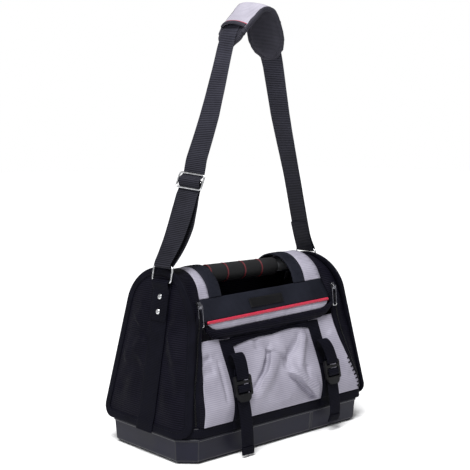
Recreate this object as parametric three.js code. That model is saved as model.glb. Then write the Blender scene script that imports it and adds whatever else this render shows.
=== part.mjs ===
// Open-mouthed tool bag: a moulded tray, two leaning end boards, cloth walls between them,
// a bar handle under the roof and a shoulder strap that stands up in a loop.
// Millimetres, +Z up. The origin is the centre of the tray's underside, and the front faces -Y.
import * as THREE from 'three';

// Driving dimensions

const GAP = 0.3; // clearance between neighbouring pieces
const BEND_ROOM = 0.75; // clearance between a wire and the webbing that bends round it
const CLOTH = 1.8; // thickness of the cloth walls

const TRAY = { length: 400, depth: 204, corner: 25, grooveX: 67, grooveWidth: 3 };
// The tray's skin, from the underside up the outside, over the rim and down to the floor.
// grow is how far a ring stands outside the nominal outline, groove how deep the front grooves are.
const TRAY_RINGS = [
  { z: 0, grow: -8, groove: 0 },
  { z: 5, grow: -2.6, groove: 0 },
  { z: 8, grow: -2.2, groove: 1.2 },
  { z: 32, grow: -0.4, groove: 1.2 },
  { z: 35.5, grow: 0, groove: 0 },
  { z: 36, grow: 1.5, groove: 0 },
  { z: 38.6, grow: 1.5, groove: 0 },
  { z: 38.6, grow: -1.5, groove: 0 },
  { z: 54.2, grow: -1.5, groove: 0 },
  { z: 54.2, grow: -4.5, groove: 0 },
  { z: 3.5, grow: -9, groove: 0 },
];
const HEM = { bottom: 39, top: 54, inner: -1.1, outer: 2, endX: 196.5 };

// The end boards lean in from the foot to the crown. Their outer face is the reference plane.
const END = { footX: 205, footZ: 40, topX: 163, topZ: 286, board: 3 };
// Outline of a board in its own plane: straight sides up to the shoulder, then half an ellipse.
const OUTLINE = { footHalf: 99.5, footRadius: 20, shoulderHalf: 77.5, crownRise: 65 };
const TAPE = { width: 10, inside: 3.7, outside: 1.5 };

// Section of the cloth body from the front hem (row 0) to the ridge of the roof (the last row).
// y and z follow the cover, tilt is how much it climbs for each millimetre towards the right,
// and the edge columns are how far it reaches to each side. The seam columns give the line
// where the zip strip meets the end board, and bulge how far that strip swells out between.
// The back mirrors the front.
const SECTION = [
  { z: 54.5, y: -104.5, tilt: 0, edgeLeft: 166, edgeRight: 182, seamY: -93, seamZ: 54.5, bulge: 0 },
  { z: 66, y: -107.5, tilt: 0, edgeLeft: 166, edgeRight: 179, seamY: -92.5, seamZ: 66, bulge: 0 },
  { z: 82, y: -108.5, tilt: 0, edgeLeft: 166, edgeRight: 171, seamY: -91.5, seamZ: 82, bulge: 0 },
  { z: 105, y: -103, tilt: 0, edgeLeft: 165, edgeRight: 160, seamY: -89.5, seamZ: 105, bulge: 0 },
  { z: 130, y: -93, tilt: 0, edgeLeft: 159, edgeRight: 153, seamY: -86.5, seamZ: 130, bulge: 1 },
  { z: 155, y: -81.5, tilt: 0.012, edgeLeft: 152, edgeRight: 149, seamY: -81.5, seamZ: 155, bulge: 2 },
  { z: 180, y: -71.5, tilt: 0.032, edgeLeft: 147, edgeRight: 146.5, seamY: -75, seamZ: 180, bulge: 4 },
  { z: 209, y: -67, tilt: 0.032, edgeLeft: 140, edgeRight: 146, seamY: -70.5, seamZ: 210, bulge: 6 },
  { z: 225, y: -60, tilt: 0.032, edgeLeft: 135, edgeRight: 142.5, seamY: -66.5, seamZ: 228, bulge: 6 },
  { z: 241, y: -52.5, tilt: 0.028, edgeLeft: 132, edgeRight: 140, seamY: -59.5, seamZ: 244.5, bulge: 4 },
  { z: 262, y: -44, tilt: 0.03, edgeLeft: 130, edgeRight: 137, seamY: -45, seamZ: 262, bulge: 2 },
  { z: 279.5, y: -24.5, tilt: 0.034, edgeLeft: 128, edgeRight: 132, seamY: -23, seamZ: 276, bulge: 0 },
  { z: 285.5, y: 0, tilt: 0.035, edgeLeft: 129, edgeRight: 129, seamY: 0, seamZ: 281, bulge: 0 },
];
const ROW = {
  hem: 0, roll: 6, coverTop: 6.03, backBandFoot: 6.05, bandFoot: 7, bandTop: 9, roofFoot: 9.02,
  ridge: SECTION.length - 1,
};

// Folds of the front cover: ridges (rise above 0) and dents (below 0) along straight lines.
const FRONT_FOLDS = [
  { fromX: 8, fromZ: 148, toX: -62, toZ: 84, width: 10, rise: 6 },
  { fromX: -14, fromZ: 142, toX: -46, toZ: 108, width: 8, rise: -4 },
  { fromX: 16, fromZ: 112, toX: 80, toZ: 66, width: 11, rise: 7 },
  { fromX: 40, fromZ: 84, toX: 78, toZ: 58, width: 10, rise: -5 },
  { fromX: 62, fromZ: 168, toX: 42, toZ: 126, width: 9, rise: 5 },
  { fromX: -40, fromZ: 166, toX: -30, toZ: 146, width: 9, rise: 3 },
  { fromX: -150, fromZ: 142, toX: -122, toZ: 148, width: 9, rise: -3 },
];
const FOLD_CLEAR = { strap: 17, fade: 12 };

const ROOF = { archProud: 1, archThick: 3 };
// Inner and outer edge of the black arch on each side of the mouth.
const ARCH = {
  left: { inner: 87, outer: 111 },
  right: { inner: 74, outer: 100 },
};
const BAND = { thick: 2.4, labelX: 2, labelWidth: 73, labelFoot: 7.42, labelTop: 8.32, labelThick: 1.2 };
const PIPING = { y: -68.2, z: 207, radius: 1.9, middle: 6.5, halfLength: 135.5 };
const LIP = { topZ: 204.8, topY: -68, footZ: 193.5, footY: -70.6, middle: 6.5, halfLength: 134, round: 22 };
const ROLL = {
  y: -73.6, z: 187.5, halfHeight: 6.6, halfDepth: 5.4, middle: 4, straight: 110, halfLength: 141,
  lift: 13, curl: 2.2, taper: 0.35,
};

const HANDLE = {
  z: 267, barRadius: 11, barBore: 9.2, gripRadius: 15, gripHalf: 76,
  pinch: 0.7, cells: 4, pinchSharpness: 20,
};

// Webbing down each end and its ring, in the board's plane: x stands off the board, s runs up it.
const END_WEB = { width: 40, thick: 1.6, shift: 10, foot: -2, tapeTop: 12, foldEnd: 168 };
const RING = { x: 5, lowS: 227, highS: 252, halfWidth: 23, corner: 5, wire: 1.6 };
const RIVET = { radius: 4.3, height: 2, upperS: 204.5, lowerS: 181.3 };

const STRAP = { width: 40, thick: 1.6 };
const SLIDER = {
  x: -107.6, y: -3, z: 417, leanX: 0.37, halfWidth: 23.5, halfHeight: 12, corner: 4, wire: 1.7,
  twist: 16, roll: 0.12,
};
// Route of the shoulder webbing: both layers from the left ring up, and the single run over the pad.
// Twist is its turn about the upright in degrees, and roll how much its back edge climbs.
const LEFT_BACK_LAYER = [
  { x: -124, y: -7, z: 352, twist: 14, roll: 0.1 },
  { x: -136, y: -9, z: 327, twist: 9, roll: 0.06 },
  { x: -150, y: -10, z: 305, twist: 3, roll: 0.02 },
];
const LEFT_FRONT_LAYER = [
  { x: -149, y: -10, z: 327, twist: 9, roll: 0.06 },
  { x: -131, y: -7, z: 362, twist: 15, roll: 0.11 },
];
const LEFT_RUN = [
  { x: -95, y: -2.5, z: 449, twist: 15, roll: 0.1 },
  { x: -82, y: -2, z: 481, twist: 13, roll: 0.06 },
  { x: -66, y: -1.5, z: 522, twist: 10, roll: 0.03 },
  { x: -44, y: -1, z: 591, twist: 2 },
];
const RIGHT_RUN = [
  { x: 76.5, y: 1, z: 602, twist: 15 },
  { x: 94.5, y: 2.5, z: 525, twist: 9 },
  { x: 111, y: 4, z: 470, twist: 3 },
  { x: 128.5, y: 6, z: 415, twist: 0 },
  { x: 148, y: 8.5, z: 347, twist: 0 },
  { x: 160, y: 10, z: 311, twist: 0 },
];
const RIGHT_FOLD = [
  { x: 157.2, y: 10, z: 311 },
  { x: 148.4, y: 9, z: 337 },
];
// Line of the webbing through the pad, the pad's half width there, its twist and its roll.
const PAD = [
  { x: -31, z: 632, half: 9, twist: 0 },
  { x: -28, z: 641, half: 23, twist: -2, roll: 0.02 },
  { x: -21.5, z: 655, half: 31, twist: -4, roll: 0.06 },
  { x: -8, z: 671, half: 34, twist: -5, roll: 0.1 },
  { x: 9, z: 687, half: 34, twist: -5, roll: 0.15 },
  { x: 26, z: 701.5, half: 34, twist: -4, roll: 0.19 },
  { x: 44, z: 698, half: 33, twist: 6, roll: 0.12 },
  { x: 55, z: 675, half: 32, twist: 14, roll: 0.04 },
  { x: 61.5, z: 649, half: 31, twist: 21 },
  { x: 67, z: 631, half: 25, twist: 21 },
  { x: 71, z: 618, half: 10, twist: 19 },
];
const PAD_TOP = 5; // row of PAD at the top of the loop, where the two webbing runs meet
const SLEEVE_ROWS = { from: 3, to: 7 };
// Half sections across the pad: side is a share of the half width, out is the height off the webbing.
const PAD_SECTION = [
  { side: 0, out: -1.8 },
  { side: 0.66, out: -1.7 },
  { side: 1, out: -3.4 },
  { side: 1, out: -6.5 },
  { side: 0.6, out: -10 },
  { side: 0, out: -11 },
];
const SLEEVE_SECTION = [
  { side: 0, out: 3.5 },
  { side: 0.7, out: 3.2 },
  { side: 0.99, out: -1.1 },
  { side: 0.98, out: -2.4 },
  { side: 0.7, out: 1.7 },
  { side: 0, out: 1.8 },
];

const FRONT_STRAP = { x: 97.5, width: 25, thick: 1.5, topRow: 5.88, footZ: 42 };
// The slack loop above a buckle, from the sewn leg over the top and down to the buckle.
// Drift is its wander along the bag.
const LOOP_SEWN = { fromRow: 3.3, toRow: 4.24 };
const LOOP_ARCH = {
  left: [
    { drift: -1, y: -94.2, z: 148.5 }, { drift: -2.5, y: -97.6, z: 155.5 },
    { drift: -3.5, y: -102.8, z: 158 }, { drift: -3.5, y: -107.8, z: 155 },
    { drift: -2.8, y: -111.4, z: 147.5 },
  ],
  right: [
    { drift: -2.5, y: -94.4, z: 146.5 }, { drift: -5.5, y: -97.8, z: 151.5 },
    { drift: -7, y: -102.6, z: 153 }, { drift: -6, y: -107.4, z: 150 },
    { drift: -2.5, y: -111.6, z: 141.5 },
  ],
};
const BUCKLE = {
  y: -117, leanY: 0.2, thick: 4, width: 35, half: 20, corner: 4,
  tongue: 27, tongueRound: 8, slotHalf: 13.1, barRoom: 0.4,
};
// Where each buckle hangs: its shift along the bag and the height of its middle.
const BUCKLE_SPOT = {
  left: { shift: -1.5, z: 106 },
  right: { shift: 3.5, z: 99.5 },
};
// Slots of the ladder buckle, top and bottom edge measured up from its middle.
const SLOTS = [
  { top: 16, foot: 11.5 },
  { top: 7, foot: 2 },
  { top: -3, foot: -8 },
];
const TAIL_SEWN = { fromRow: 0.4, toRow: 1.9 };
const TAIL_DROP = {
  left: [
    { drift: 0.5, y: -120, z: 66 }, { drift: 2, y: -121.5, z: 45 },
    { drift: 3, y: -122, z: 25 }, { drift: 4, y: -121.5, z: 4 },
  ],
  right: [
    { drift: 4.5, y: -120, z: 62 }, { drift: 5.5, y: -121.5, z: 45 },
    { drift: 6, y: -121, z: 31 }, { drift: 5.5, y: -117, z: 17 },
  ],
};

const ZIP = {
  across: 0.32, standOff: 1.7, width: 6, length: 11, tall: 3.6,
  hingeUp: -1, hingeTall: 4.9, eyeRoom: 0.35, eyeWall: 1,
};
const ZIP_ROW = { left: 8.3, right: 8 }; // where each slider stands on its zip
const PULL = { halfWidth: 4.2, length: 33, wire: 0.8, corner: 1.2, dropDegrees: 20 };

// Finishes

function finish(color, roughness, metalness = 0) {
  return new THREE.MeshStandardMaterial({ color, roughness, metalness });
}

const BLACK_NYLON = finish(0x17181c, 0.85);
const BLACK_WEBBING = finish(0x1b1c20, 0.8);
const GREY_CLOTH = finish(0xa9a6b0, 0.8);
const RED_CORD = finish(0xc41f38, 0.6);
const TRAY_PLASTIC = finish(0x2b2c30, 0.55);
const BUCKLE_PLASTIC = finish(0x141416, 0.4);
const FOAM_GRIP = finish(0x1d1e20, 0.9);
const STEEL = finish(0xc9cacc, 0.25, 1);
const RUBBER = finish(0x101012, 0.6);

// Shape helpers

const vec = (x, y, z) => new THREE.Vector3(x, y, z);
const lerp = THREE.MathUtils.lerp;

// A closed geometry from points and triangles, turned so that its faces point out.
function closedGeometry(points, faces) {
  const volume = faces.reduce((sum, [a, b, c]) => {
    const across = points[b].clone().cross(points[c]);
    return sum + points[a].dot(across);
  }, 0);
  const ordered = volume < 0 ? faces.map(([a, b, c]) => [a, c, b]) : faces;
  const geometry = new THREE.BufferGeometry();
  geometry.setFromPoints(points);
  geometry.setIndex(ordered.flat());
  geometry.computeVertexNormals();
  return geometry;
}

// Triangles that close a flat ring of points, in the ring's own order.
function capFaces(ring) {
  const normal = vec(0, 0, 0);
  ring.forEach((point, i) => {
    const next = ring[(i + 1) % ring.length];
    normal.add(point.clone().cross(next));
  });
  normal.normalize();
  const flatX = ring[1].clone().sub(ring[0]).normalize();
  const flatY = normal.clone().cross(flatX);
  const flat = ring.map((point) => new THREE.Vector2(point.dot(flatX), point.dot(flatY)));
  return THREE.ShapeUtils.triangulateShape(flat, []);
}

// Skin between successive rings. An open row of rings is capped, a closed one returns to its start.
function loft(rings, closed = false) {
  const count = rings[0].length;
  const spans = closed ? rings.length : rings.length - 1;
  const faces = [];
  for (let i = 0; i < spans; i += 1) {
    const here = i * count;
    const there = ((i + 1) % rings.length) * count;
    for (let j = 0; j < count; j += 1) {
      const next = (j + 1) % count;
      faces.push([here + j, here + next, there + next], [here + j, there + next, there + j]);
    }
  }
  if (!closed) {
    const last = (rings.length - 1) * count;
    capFaces(rings[0]).forEach(([a, b, c]) => faces.push([a, c, b]));
    capFaces(rings[rings.length - 1]).forEach(([a, b, c]) => faces.push([last + a, last + b, last + c]));
  }
  return closedGeometry(rings.flat(), faces);
}

// A cloth wall: surface(u, w) is its outer face, inward(u, w) leads from there to the inner face.
function clothWall(rows, columns, surface, inward) {
  const rings = [];
  for (let i = 0; i <= rows; i += 1) {
    const outer = [];
    const inner = [];
    for (let j = 0; j <= columns; j += 1) {
      const point = surface(i / rows, j / columns);
      outer.push(point);
      inner.unshift(point.clone().add(inward(i / rows, j / columns)));
    }
    rings.push([...outer, ...inner]);
  }
  return stripLoft(rings, columns + 1);
}

// Like loft, for rings that are thin strips: the caps are ladders between the two faces of the strip.
function stripLoft(rings, width) {
  const count = width * 2;
  const faces = [];
  for (let i = 0; i + 1 < rings.length; i += 1) {
    for (let j = 0; j < count; j += 1) {
      const next = (j + 1) % count;
      const here = i * count;
      const there = here + count;
      faces.push([here + j, here + next, there + next], [here + j, there + next, there + j]);
    }
  }
  const last = (rings.length - 1) * count;
  for (let j = 0; j + 1 < width; j += 1) {
    const far = count - 1 - j;
    faces.push([j, far, far - 1], [j, far - 1, j + 1]);
    faces.push([last + j, last + far - 1, last + far], [last + j, last + j + 1, last + far - 1]);
  }
  return closedGeometry(rings.flat(), faces);
}

// A smooth row of points through a few chosen ones.
function smooth(points, stepsPerSpan) {
  const curve = new THREE.CatmullRomCurve3(points, false, 'centripetal');
  return curve.getPoints(stepsPerSpan * (points.length - 1));
}

function directionAt(path, i) {
  const ahead = path[Math.min(i + 1, path.length - 1)];
  const behind = path[Math.max(i - 1, 0)];
  return ahead.clone().sub(behind).normalize();
}

// Places along a path, each with the direction across the webbing and the one out of its face.
function framesOf(path, acrossAt) {
  return path.map((point, i) => {
    const across = acrossAt(i);
    const out = directionAt(path, i).cross(across).normalize();
    return { point, across, out };
  });
}

// Flat webbing through a row of frames.
function webbing(frames, width, thick) {
  const corners = [[1, 1], [-1, 1], [-1, -1], [1, -1]];
  const rings = frames.map(({ point, across, out }) => corners.map(([side, face]) => {
    const corner = point.clone().addScaledVector(across, (side * width) / 2);
    return corner.addScaledVector(out, (face * thick) / 2);
  }));
  return loft(rings);
}

// A closed wire through points that lie in the plane with the given normal.
function wireLoop(path, normal, radius, sides = 8) {
  const rings = path.map((point, i) => {
    const ahead = path[(i + 1) % path.length];
    const behind = path[(i + path.length - 1) % path.length];
    const side = ahead.clone().sub(behind).normalize().cross(normal);
    return circle(point, side, normal, radius, sides);
  });
  return loft(rings, true);
}

function circle(centre, axisA, axisB, radius, sides) {
  return Array.from({ length: sides }, (_, k) => {
    const angle = (2 * Math.PI * k) / sides;
    const point = centre.clone().addScaledVector(axisA, radius * Math.cos(angle));
    return point.addScaledVector(axisB, radius * Math.sin(angle));
  });
}

// Outline of a rectangle with round corners, as a shape.
function roundedRectangle(halfWidth, foot, top, corner) {
  const shape = new THREE.Shape();
  shape.absarc(halfWidth - corner, foot + corner, corner, -Math.PI / 2, 0, false);
  shape.absarc(halfWidth - corner, top - corner, corner, 0, Math.PI / 2, false);
  shape.absarc(-halfWidth + corner, top - corner, corner, Math.PI / 2, Math.PI, false);
  shape.absarc(-halfWidth + corner, foot + corner, corner, Math.PI, 1.5 * Math.PI, false);
  shape.closePath();
  return shape;
}

function outlinePoints(shape, curveSteps) {
  const points = shape.extractPoints(curveSteps).shape;
  return points.filter((point, i) => i === 0 || point.distanceTo(points[i - 1]) > 0.01)
    .filter((point, i, kept) => i === 0 || point.distanceTo(kept[0]) > 0.01);
}

function extruded(shape, depth, curveSegments) {
  return new THREE.ExtrudeGeometry(shape, { depth, curveSegments, bevelEnabled: false });
}

// The cloth body's section

const lean = Math.atan2(END.footX - END.topX, END.topZ - END.footZ);
const slopeLength = Math.hypot(END.footX - END.topX, END.topZ - END.footZ);

// Inner face of the binding tape at height z, where the zip strips end.
function seamX(z) {
  return END.footX - (z - END.footZ) * Math.tan(lean) - TAPE.inside / Math.cos(lean) - GAP;
}

const rowCount = 2 * ROW.ridge;
const frontRows = SECTION.slice(0, -1);
const backRows = frontRows.reverse().map((row) => ({ ...row, y: -row.y, seamY: -row.seamY }));
const allRows = [...SECTION, ...backRows];

// One column of the section as a smooth function of the row.
function column(name) {
  const curve = new THREE.SplineCurve(allRows.map((row, i) => new THREE.Vector2(i, row[name])));
  return (row) => curve.getPoint(THREE.MathUtils.clamp(row / rowCount, 0, 1)).y;
}

const coverY = column('y');
const coverZ = column('z');
const tiltAt = column('tilt');
const bulgeAt = column('bulge');
const seamYAt = column('seamY');
const seamZAt = column('seamZ');
const edgeLeftAt = column('edgeLeft');
const edgeRightAt = column('edgeRight');
const edgeAt = (row, sign) => (sign < 0 ? edgeLeftAt(row) : edgeRightAt(row));

// Outward direction of the section at a row, in the plane across the bag.
function outwardAt(row) {
  const step = 0.05;
  const runY = coverY(row + step) - coverY(row - step);
  const runZ = coverZ(row + step) - coverZ(row - step);
  return vec(0, -runZ, runY).normalize();
}

// A point of the cover at a given x and row, standing off its face by some height.
function onSection(x, row, standOff = 0) {
  const point = vec(x, coverY(row), coverZ(row) + tiltAt(row) * x);
  return point.addScaledVector(outwardAt(row), standOff);
}

// A point of the zip strip, from the edge of the cover (across 0) to the end board (across 1).
function onStrip(sign, row, across) {
  const edge = onSection(sign * (edgeAt(row, sign) + GAP / 2), row);
  const seamZ = seamZAt(row);
  const seam = vec(sign * seamX(seamZ), seamYAt(row), seamZ);
  const swell = bulgeAt(row) * Math.sin(Math.PI * across);
  return edge.lerp(seam, across).addScaledVector(outwardAt(row), swell);
}

const backRow = (row) => rowCount - row;

// How far the folds lift the front cover at x and row.
// They die out beside the sewn straps and towards the edges.
function foldRise(x, row) {
  const z = coverZ(row);
  const besideStrap = Math.abs(Math.abs(x) - FRONT_STRAP.x) - FOLD_CLEAR.strap;
  const besideEdge = edgeAt(row, x) - Math.abs(x);
  const besideEnds = Math.min(z - SECTION[ROW.hem].z, SECTION[ROW.roll].z - z);
  const room = Math.min(besideStrap, besideEdge, besideEnds);
  const share = THREE.MathUtils.smoothstep(room, 0, FOLD_CLEAR.fade);
  return share * FRONT_FOLDS.reduce((sum, fold) => {
    const runX = fold.toX - fold.fromX;
    const runZ = fold.toZ - fold.fromZ;
    const along = ((x - fold.fromX) * runX + (z - fold.fromZ) * runZ) / (runX * runX + runZ * runZ);
    const near = THREE.MathUtils.clamp(along, 0, 1);
    const away = Math.hypot(x - fold.fromX - near * runX, z - fold.fromZ - near * runZ);
    return sum + fold.rise * Math.exp(-((away / fold.width) ** 2));
  }, 0);
}

// Assembly

const bag = new THREE.Group();

function place(name, geometry, material, parent = bag) {
  const mesh = new THREE.Mesh(geometry, material);
  mesh.name = name;
  parent.add(mesh);
  return mesh;
}

const SIDES = [
  { name: 'left', sign: -1 },
  { name: 'right', sign: 1 },
];

// Tray

function trayRing({ z, grow, groove }) {
  const halfX = TRAY.length / 2 + grow;
  const halfY = TRAY.depth / 2 + grow;
  const corner = TRAY.corner + grow * (2 - Math.SQRT2);
  const side = [];
  [-1, 1].forEach((sign) => {
    const from = sign * TRAY.grooveX - TRAY.grooveWidth;
    const to = sign * TRAY.grooveX + TRAY.grooveWidth;
    side.push([from, 0], [sign * TRAY.grooveX - 1, groove], [sign * TRAY.grooveX + 1, groove], [to, 0]);
  });
  const front = side.map(([x, depth]) => vec(x, -halfY + depth, z));
  const back = side.map(([x, depth]) => vec(-x, halfY - depth, z));
  return [
    vec(-halfX + corner, -halfY, z), ...front, vec(halfX - corner, -halfY, z),
    vec(halfX, -halfY + corner, z), vec(halfX, halfY - corner, z),
    vec(halfX - corner, halfY, z), ...back, vec(-halfX + corner, halfY, z),
    vec(-halfX, halfY - corner, z), vec(-halfX, -halfY + corner, z),
  ];
}

place('base_tray', loft(TRAY_RINGS.map(trayRing)), TRAY_PLASTIC);

// Hem tape round the foot of the front and the back, following the chamfered corners.
function hemTape(sign) {
  const turnX = TRAY.length / 2 - TRAY.corner;
  const sideY = TRAY.depth / 2;
  const stops = [-HEM.endX, -turnX, turnX, HEM.endX];
  const rings = stops.map((x) => {
    const past = Math.max(Math.abs(x) - turnX, 0);
    const mitre = Math.tan(Math.PI / 8);
    const corner = (grow) => {
      const shift = Math.abs(x) > turnX ? grow / Math.SQRT2 : grow * mitre;
      const out = Math.abs(x) > turnX ? grow / Math.SQRT2 : grow;
      return [x + Math.sign(x) * shift, sign * (sideY - past + out)];
    };
    const [outerX, outerY] = corner(HEM.outer);
    const [innerX, innerY] = corner(HEM.inner);
    return [
      vec(outerX, outerY, HEM.bottom), vec(outerX, outerY, HEM.top),
      vec(innerX, innerY, HEM.top), vec(innerX, innerY, HEM.bottom),
    ];
  });
  return loft(rings);
}

place('front_hem', hemTape(-1), BLACK_WEBBING);
place('back_hem', hemTape(1), BLACK_WEBBING);

// End boards, their tape, webbing, rings and rivets

function endOutline(inset) {
  const half = OUTLINE.footHalf - inset;
  const radius = OUTLINE.footRadius - inset;
  const shoulder = OUTLINE.shoulderHalf - inset;
  const shoulderS = slopeLength - OUTLINE.crownRise;
  const shape = new THREE.Shape();
  shape.absarc(half - radius, inset + radius, radius, -Math.PI / 2, 0, false);
  shape.absellipse(0, shoulderS, shoulder, OUTLINE.crownRise - inset, 0, Math.PI, false, 0);
  shape.absarc(-half + radius, inset + radius, radius, Math.PI, 1.5 * Math.PI, false);
  shape.closePath();
  return shape;
}

// Turns a shape's plane into the board's plane, with its depth along the board's outward x.
const toBoardPlane = new THREE.Matrix4().makeBasis(vec(0, 1, 0), vec(0, 0, 1), vec(1, 0, 0));

function boardGeometry(shape, depth, fromX) {
  const geometry = extruded(shape, depth, 8);
  geometry.applyMatrix4(toBoardPlane);
  return geometry.translate(fromX, 0, 0);
}

function endWebbingPath() {
  const onBoard = END_WEB.thick / 2 + GAP;
  const onTape = TAPE.outside + onBoard;
  const reach = RING.wire + BEND_ROOM + END_WEB.thick / 2;
  const secondLayer = onBoard + END_WEB.thick + GAP;
  const turn = [180, 150, 120, 90, 60, 30, 0].map((degrees) => {
    const angle = THREE.MathUtils.degToRad(degrees);
    return [RING.x + reach * Math.cos(angle), RING.lowS + reach * Math.sin(angle)];
  });
  return [
    [onTape, END_WEB.foot], [onTape, END_WEB.tapeTop], [onBoard, END_WEB.tapeTop + 12],
    [onBoard, END_WEB.foldEnd], [onBoard, RING.lowS - 15], ...turn,
    [secondLayer, RING.lowS - 14], [secondLayer, END_WEB.foldEnd],
  ].map(([x, s]) => vec(x, END_WEB.shift, s));
}

function ringGeometry() {
  const outline = roundedRectangle(RING.halfWidth, RING.lowS, RING.highS, RING.corner);
  const path = outlinePoints(outline, 3).map((p) => vec(RING.x, p.x + END_WEB.shift, p.y));
  return wireLoop(path, vec(1, 0, 0), RING.wire);
}

function rivetGeometry(s) {
  const rim = 0.8;
  const profile = [
    new THREE.Vector2(0, 0),
    new THREE.Vector2(RIVET.radius, 0),
    new THREE.Vector2(RIVET.radius, rim),
    new THREE.Vector2(RIVET.radius * 0.7, RIVET.height * 0.85),
    new THREE.Vector2(0, RIVET.height),
  ];
  const geometry = new THREE.LatheGeometry(profile, 16);
  geometry.rotateZ(-Math.PI / 2);
  const seat = 2 * END_WEB.thick + 3 * GAP;
  return geometry.translate(seat, END_WEB.shift, s);
}

SIDES.forEach(({ name, sign }) => {
  const turned = new THREE.Group();
  turned.rotation.z = sign > 0 ? 0 : Math.PI;
  const board = new THREE.Group();
  board.position.set(END.footX, 0, END.footZ);
  board.rotation.y = -lean;
  turned.add(board);
  bag.add(turned);

  const tape = endOutline(0);
  tape.holes.push(endOutline(TAPE.width));
  const panel = boardGeometry(endOutline(TAPE.width + GAP), END.board, -END.board);
  const binding = boardGeometry(tape, TAPE.inside + TAPE.outside, -TAPE.inside);
  place(`end_panel_${name}`, panel, BLACK_NYLON, board);
  place(`end_binding_${name}`, binding, BLACK_WEBBING, board);
  const webFrames = framesOf(endWebbingPath(), () => vec(0, 1, 0));
  place(`end_webbing_${name}`, webbing(webFrames, END_WEB.width, END_WEB.thick), BLACK_WEBBING, board);
  place(`ring_${name}`, ringGeometry(), STEEL, board);
  place(`rivet_${name}_upper`, rivetGeometry(RIVET.upperS), STEEL, board);
  place(`rivet_${name}_lower`, rivetGeometry(RIVET.lowerS), STEEL, board);
});

// Cloth body

function sectionWall({ rows, columns, fromRow, toRow, xAt, standOff = 0, thick, lift = () => 0 }) {
  const rowAt = (u) => lerp(fromRow, toRow, u);
  const surface = (u, w) => {
    const row = rowAt(u);
    const point = onSection(xAt(row, w), row, standOff);
    point.y -= lift(point.x, row);
    return point;
  };
  const inward = (u) => outwardAt(rowAt(u)).multiplyScalar(-thick);
  return clothWall(rows, columns, surface, inward);
}

const acrossCover = (row, w) => lerp(GAP / 2 - edgeLeftAt(row), edgeRightAt(row) - GAP / 2, w);

place('front_cover', sectionWall({
  rows: 16, columns: 34, fromRow: ROW.hem, toRow: ROW.coverTop, xAt: acrossCover, thick: CLOTH,
  lift: foldRise,
}), GREY_CLOTH);
place('back_cover', sectionWall({
  rows: 12, columns: 8, fromRow: backRow(ROW.coverTop), toRow: backRow(ROW.hem), xAt: acrossCover,
  thick: CLOTH,
}), GREY_CLOTH);
place('front_band', sectionWall({
  rows: 5, columns: 8, fromRow: ROW.bandFoot, toRow: ROW.bandTop, xAt: acrossCover, thick: BAND.thick,
}), BLACK_NYLON);
place('back_band', sectionWall({
  rows: 8, columns: 8, fromRow: backRow(ROW.bandTop), toRow: backRow(ROW.backBandFoot), xAt: acrossCover,
  thick: BAND.thick,
}), BLACK_NYLON);
place('label_patch', sectionWall({
  rows: 2, columns: 2, fromRow: BAND.labelFoot, toRow: BAND.labelTop,
  xAt: (row, w) => BAND.labelX + lerp(-0.5, 0.5, w) * BAND.labelWidth,
  standOff: GAP + BAND.labelThick, thick: BAND.labelThick,
}), RUBBER);

SIDES.forEach(({ name, sign }) => {
  const arch = ARCH[name];
  const overRoof = { fromRow: ROW.roofFoot, toRow: backRow(ROW.roofFoot) };
  place(`roof_strip_${name}`, sectionWall({
    rows: 16, columns: 1, ...overRoof, thick: CLOTH,
    xAt: (row, w) => sign * lerp(arch.outer + GAP, edgeAt(row, sign) - GAP / 2, w),
  }), GREY_CLOTH);
  place(`arch_${name}`, sectionWall({
    rows: 16, columns: 1, ...overRoof, standOff: ROOF.archProud, thick: ROOF.archThick,
    xAt: (row, w) => sign * lerp(arch.inner, arch.outer, w),
  }), BLACK_WEBBING);

  const strip = (u, w) => onStrip(sign, u * rowCount, w);
  const inward = (u) => outwardAt(u * rowCount).multiplyScalar(-CLOTH);
  place(`gusset_${name}`, clothWall(44, 4, strip, inward), BLACK_NYLON);
});

// Piping, pocket lip and pocket roll under the front band

const flapTilt = tiltAt(ROW.bandFoot);
const pipingEnds = [PIPING.middle - PIPING.halfLength, PIPING.middle + PIPING.halfLength];
place('front_piping', loft(pipingEnds.map((x) => (
  circle(vec(x, PIPING.y, PIPING.z + flapTilt * x), vec(0, 1, 0), vec(0, 0, 1), PIPING.radius, 10)
))), RED_CORD);

// The lip's lower corners are rounded, and the roll under it bends up round them.
function lipFoot(x) {
  const past = Math.max(Math.abs(x - LIP.middle) - (LIP.halfLength - LIP.round), 0) / LIP.round;
  const rounded = 1 - Math.sqrt(1 - Math.min(past, 1) ** 2);
  return lerp(LIP.footZ, LIP.topZ - 1, rounded);
}

function lipSurface(u, w) {
  const x = LIP.middle + lerp(-LIP.halfLength, LIP.halfLength, u);
  const foot = lipFoot(x);
  const z = lerp(foot, LIP.topZ, w);
  const share = (z - LIP.footZ) / (LIP.topZ - LIP.footZ);
  return vec(x, lerp(LIP.footY, LIP.topY, share), z + flapTilt * x);
}

place('pocket_lip', clothWall(28, 1, lipSurface, () => vec(0, CLOTH, 0)), GREY_CLOTH);

function rollRing(x) {
  const past = Math.max(Math.abs(x - ROLL.middle) - ROLL.straight, 0) / (ROLL.halfLength - ROLL.straight);
  const centre = vec(x, ROLL.y, ROLL.z + ROLL.lift * past ** ROLL.curl + flapTilt * x);
  const fat = 1 - ROLL.taper * past ** 2;
  const tall = vec(0, 0, ROLL.halfHeight * fat);
  return circle(centre, vec(0, ROLL.halfDepth * fat, 0), tall, 1, 10);
}

const rollSteps = 18;
const rollRings = Array.from({ length: rollSteps + 1 }, (_, i) => (
  rollRing(ROLL.middle + lerp(-ROLL.halfLength, ROLL.halfLength, i / rollSteps))
));
place('pocket_roll', loft(rollRings), BLACK_NYLON);

// Handle

const barTop = HANDLE.z + HANDLE.barRadius;
const barHalf = END.footX - (barTop - END.footZ) * Math.tan(lean) - TAPE.inside / Math.cos(lean) - GAP;

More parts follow.
